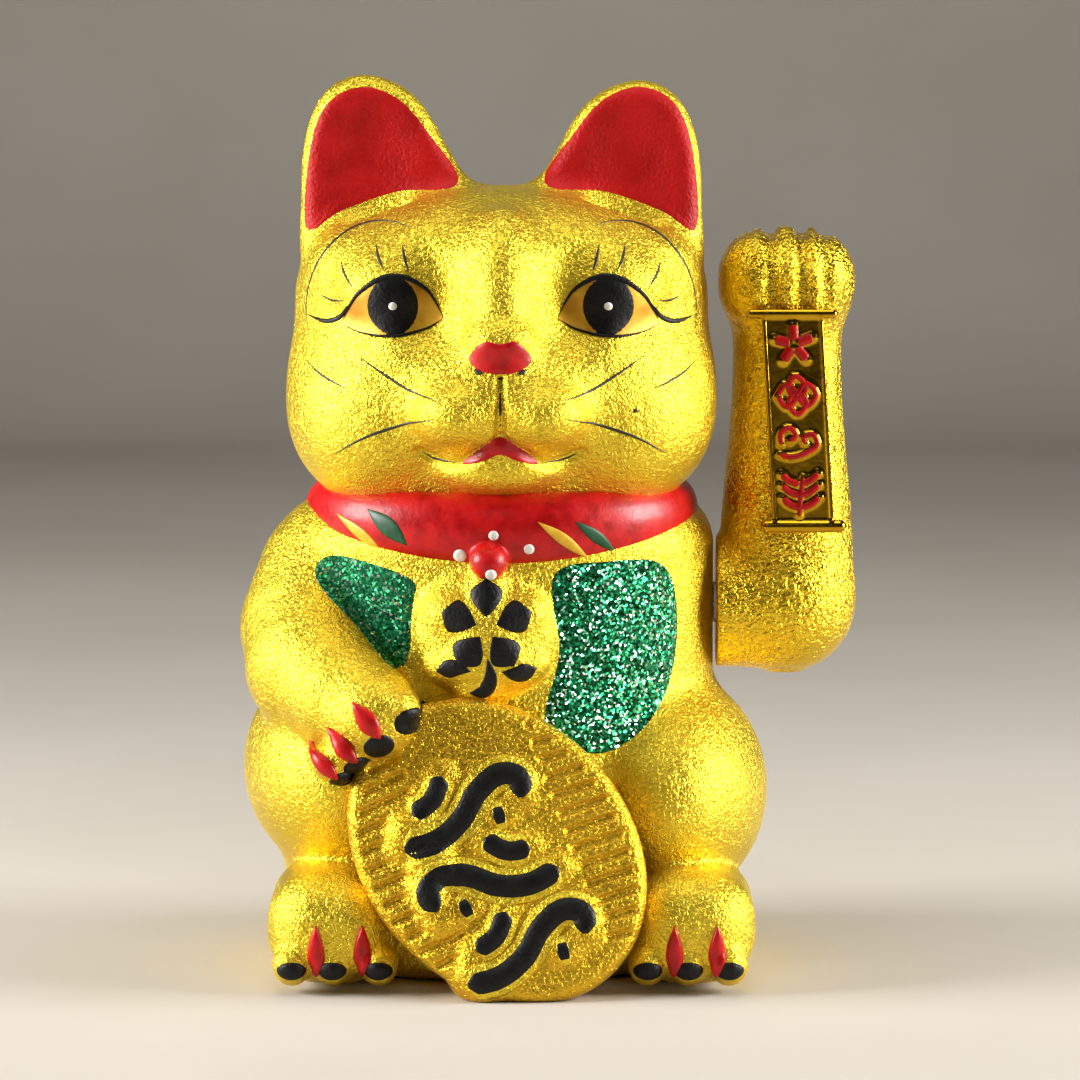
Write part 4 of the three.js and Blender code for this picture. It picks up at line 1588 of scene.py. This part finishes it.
@dataclass
class RaisedArm:
    """The plated arm, moulded in two halves that meet in a fine seam, and its smooth plaque."""

    centre_x: float = 82.7
    inner_x: float = 62.3
    pivot_z: float = 103.5
    seam: float = 0.3
    cell: float = 0.8
    knuckles: tuple[float, ...] = (77.5, 86.3, 93.2)
    board_at: Point = (85.0, -18.6, 158.5)
    board_lean: float = 3.3

    def clay(self) -> Clay:
        """Forearm, elbow and fist."""
        made = Clay()
        heights = (84, 88, 95, 104, 120, 135, 150, 164, 176, 186, 194, 202, 208, 211.6)
        radii = (4, 11, 17, 19.4, 19.4, 18.4, 17, 16, 15.7, 16.2, 17.4, 16.6, 12, 4)
        made.add(Spindle((self.centre_x, 0), heights, radii, 0.9))
        made.add(Rod((self.inner_x - 25, 0, self.pivot_z), (self.centre_x, 0, self.pivot_z), (18.2, 19.2)), 4)
        made.add(Block((self.centre_x - 0.5, -2.5, 197.5), (18.9, 15.5, 13.8), 12.4), 6)
        bend = np.radians(np.linspace(0, 90, 8))
        for x in self.knuckles:
            path = [(x, -5.6 - 12.7 * math.sin(a), 198.9 + 12.7 * math.cos(a)) for a in bend]
            path = [(x, 6.0, 212.2), *path, (x, -18.3, 186.0)]
            made.cut(Chain(tuple(path), (1.7,) * len(path), 5), 2.4)
        made.keep(Beyond((self.inner_x, 0, 0), (-1, 0, 0)), 0.8)
        return made

    def ornaments(self) -> tuple[Trace, ...]:
        """The plaque's four reliefs: a blossom, a knot of lozenges, a cloud curl and a leaf sprig."""
        x, z = 0.0, self.board_at[2]
        wide = 1.5
        knot = [
            Trace(((x + a, z + 7.3 + b), (x + a + 2.8, z + 10.6 + b), (x + a + 5.6, z + 7.3 + b),
                   (x + a + 2.8, z + 4.0 + b), (x + a, z + 7.3 + b)), wide)
            for a, b in ((-5.6, 0), (0, 0), (-2.8, 2.2), (-2.8, -2.2))
        ]
        cloud = [
            Trace(((x - 5.6, z - 9.5), (x - 2.5, z - 10.4), (x + 1.5, z - 9.6), (x + 5, z - 7.4),
                   (x + 4.2, z - 4.4), (x + 1.4, z - 4.8), (x + 1.8, z - 6.8)), wide),
            Trace(((x - 5.2, z - 6.6), (x - 5.0, z - 3.4), (x - 2.4, z - 2.0), (x - 0.8, z - 4.2),
                   (x - 2.6, z - 5.8)), wide),
        ]
        sprig = [Trace(((x - 1, z - 27.5), (x - 0.4, z - 22), (x + 0.8, z - 16.4)), wide)]
        for rise in (-25.2, -21.6, -18.4):
            up = z + rise
            sprig.append(Trace(((x - 0.6, up), (x - 3.6, up + 1.3), (x - 5.4, up + 3.2)), wide + 0.5))
            sprig.append(Trace(((x - 0.2, up), (x + 2.8, up + 1.1), (x + 5.0, up + 2.8)), wide + 0.5))
        petals = blossom((x, z + 22.0), 5.6, 3.0)
        upright = (*petals, *knot, *cloud, *sprig)
        at = (self.board_at[0], z)
        own = [Trace(tuple((a, b - z) for a, b in t.path), t.width) for t in upright]
        return tuple(placed_trace(t, at, self.board_lean) for t in own)

    def plaque(self) -> Clay:
        """The board with a raised border and a rod at each end."""
        made = Clay()
        turn = (0, -self.board_lean, 0)
        x, y, z = self.board_at
        made.add(Block((x, y + 0.3, z), (8.7, 1.3, 30), 0.5, turn))
        lean = math.tan(math.radians(self.board_lean))
        for side in (-1, 1):
            foot, head = x + side * 8.2 + 29.5 * lean, x + side * 8.2 - 29.5 * lean
            made.add(Rod((foot, y - 0.9, z - 29.5), (head, y - 0.9, z + 29.5), (0.55, 0.55)), 0.5)
        for side, radius, half in ((1, 1.4, 11.6), (-1, 1.9, 10.4)):
            centre = x - side * 30.6 * lean
            start, stop = ((centre + end * half, y - 0.2, z + side * 30.6) for end in (-1, 1))
            made.add(Rod(start, stop, (radius, radius)), 0.6)
        return made.raised(self.ornaments(), 0.7, 0.3, 0.8)

    def build(self) -> None:
        """Makes both halves and the plaque."""
        halves = (("arm_front_skin", "arm_shell_front", -1), ("arm_back_skin", "arm_shell_back", 1))
        for name, shell, side in halves:
            half = self.clay().keep(Beyond((0, side * self.seam / 2, 0), (0, -side, 0)), 0.3)
            low = (60, -24 if side < 0 else -0.8, 82)
            high = (105, 0.8 if side < 0 else 20, 214)
            points, faces = level_skin(half, low, high, self.cell)
            place = Place("raised_arm", "plated_gold", (shell,))
            make_piece(name, points, faces, PLATED_HIDE.material(), place)
        plaque = self.plaque()
        place = Place("raised_arm", "bright_plated_gold", ("arm_plaque",))
        points, faces = level_skin(plaque, (70, -23, 124), (100, -15, 193), 0.36)
        make_piece("plaque_skin", points, faces, PLATED_SMOOTH.material(), place)
        brush = Painter(plaque)
        brush.lines(self.ornaments(), 0.25, Tip.ROUND).done("plaque_enamel", RED_ENAMEL, place)


@dataclass
class Works:
    """The carried-over movement, cells, cover and switch, each given its record finish."""

    finishes: dict[str, Finish] = field(
        default_factory=lambda: {
            "gold_painted_ceramic": SAND_GOLD,
            "plated_gold": PLATED_HIDE,
            "bright_plated_gold": PLATED_SMOOTH,
            "white_abs": Finish(
                "moulded_white_abs", "#dcdad2", "#e8e6df", 0.45, grain_mm=0.6, grain_height_mm=0.02
            ),
            "black_abs": Finish(
                "spark_textured_black_abs", "#101011", "#191919", 0.55, grain_mm=0.7, grain_height_mm=0.05
            ),
            "steel": Finish("zinc_plated_steel", "#8d9094", "#b3b6b9", 0.3, metallic=1.0, mottle_mm=6),
            "brass": Finish("turned_brass", "#b3882f", "#cfa347", 0.28, metallic=1.0, mottle_mm=5),
            "copper_wire": Finish(
                "enamelled_copper_wire", "#a5502a", "#c46a38", 0.3, metallic=0.9, mottle_mm=4
            ),
            "board_green": Finish("solder_masked_board", "#0d4a2a", "#14613a", 0.4, mottle_mm=6),
            "cell_jacket": Finish(
                "shrunk_film_cell_sleeve", "#2a4a86", "#365a9c", 0.3, mottle_mm=10, coat=0.4
            ),
            "red_pvc": Finish("extruded_red_pvc", "#b3141a", "#c81d22", 0.4, mottle_mm=5),
            "black_pvc": Finish("extruded_black_pvc", "#141414", "#1d1d1d", 0.42, mottle_mm=5),
        }
    )

    def build(self) -> None:
        """Gives each carried-over node its finish."""
        slots = {part["node"]: part["material_slot"] for part in frame["record"]["subparts"]}
        for name, obj in frame["nodes"].items():
            obj.data.materials.clear()
            obj.data.materials.append(self.finishes[slots[name]].material())


def main() -> None:
    """Builds every sub-assembly in order."""
    logging.basicConfig(level=logging.INFO, format="%(message)s")
    bpy.context.scene.view_settings.view_transform = "Standard"
    Studio().build()
    for part in (Works(), Head(), Trunk(), Coin(), Collar(), RaisedArm()):
        LOG.info("building %s", type(part).__name__)
        part.build()


if __name__ == "__main__":
    main()
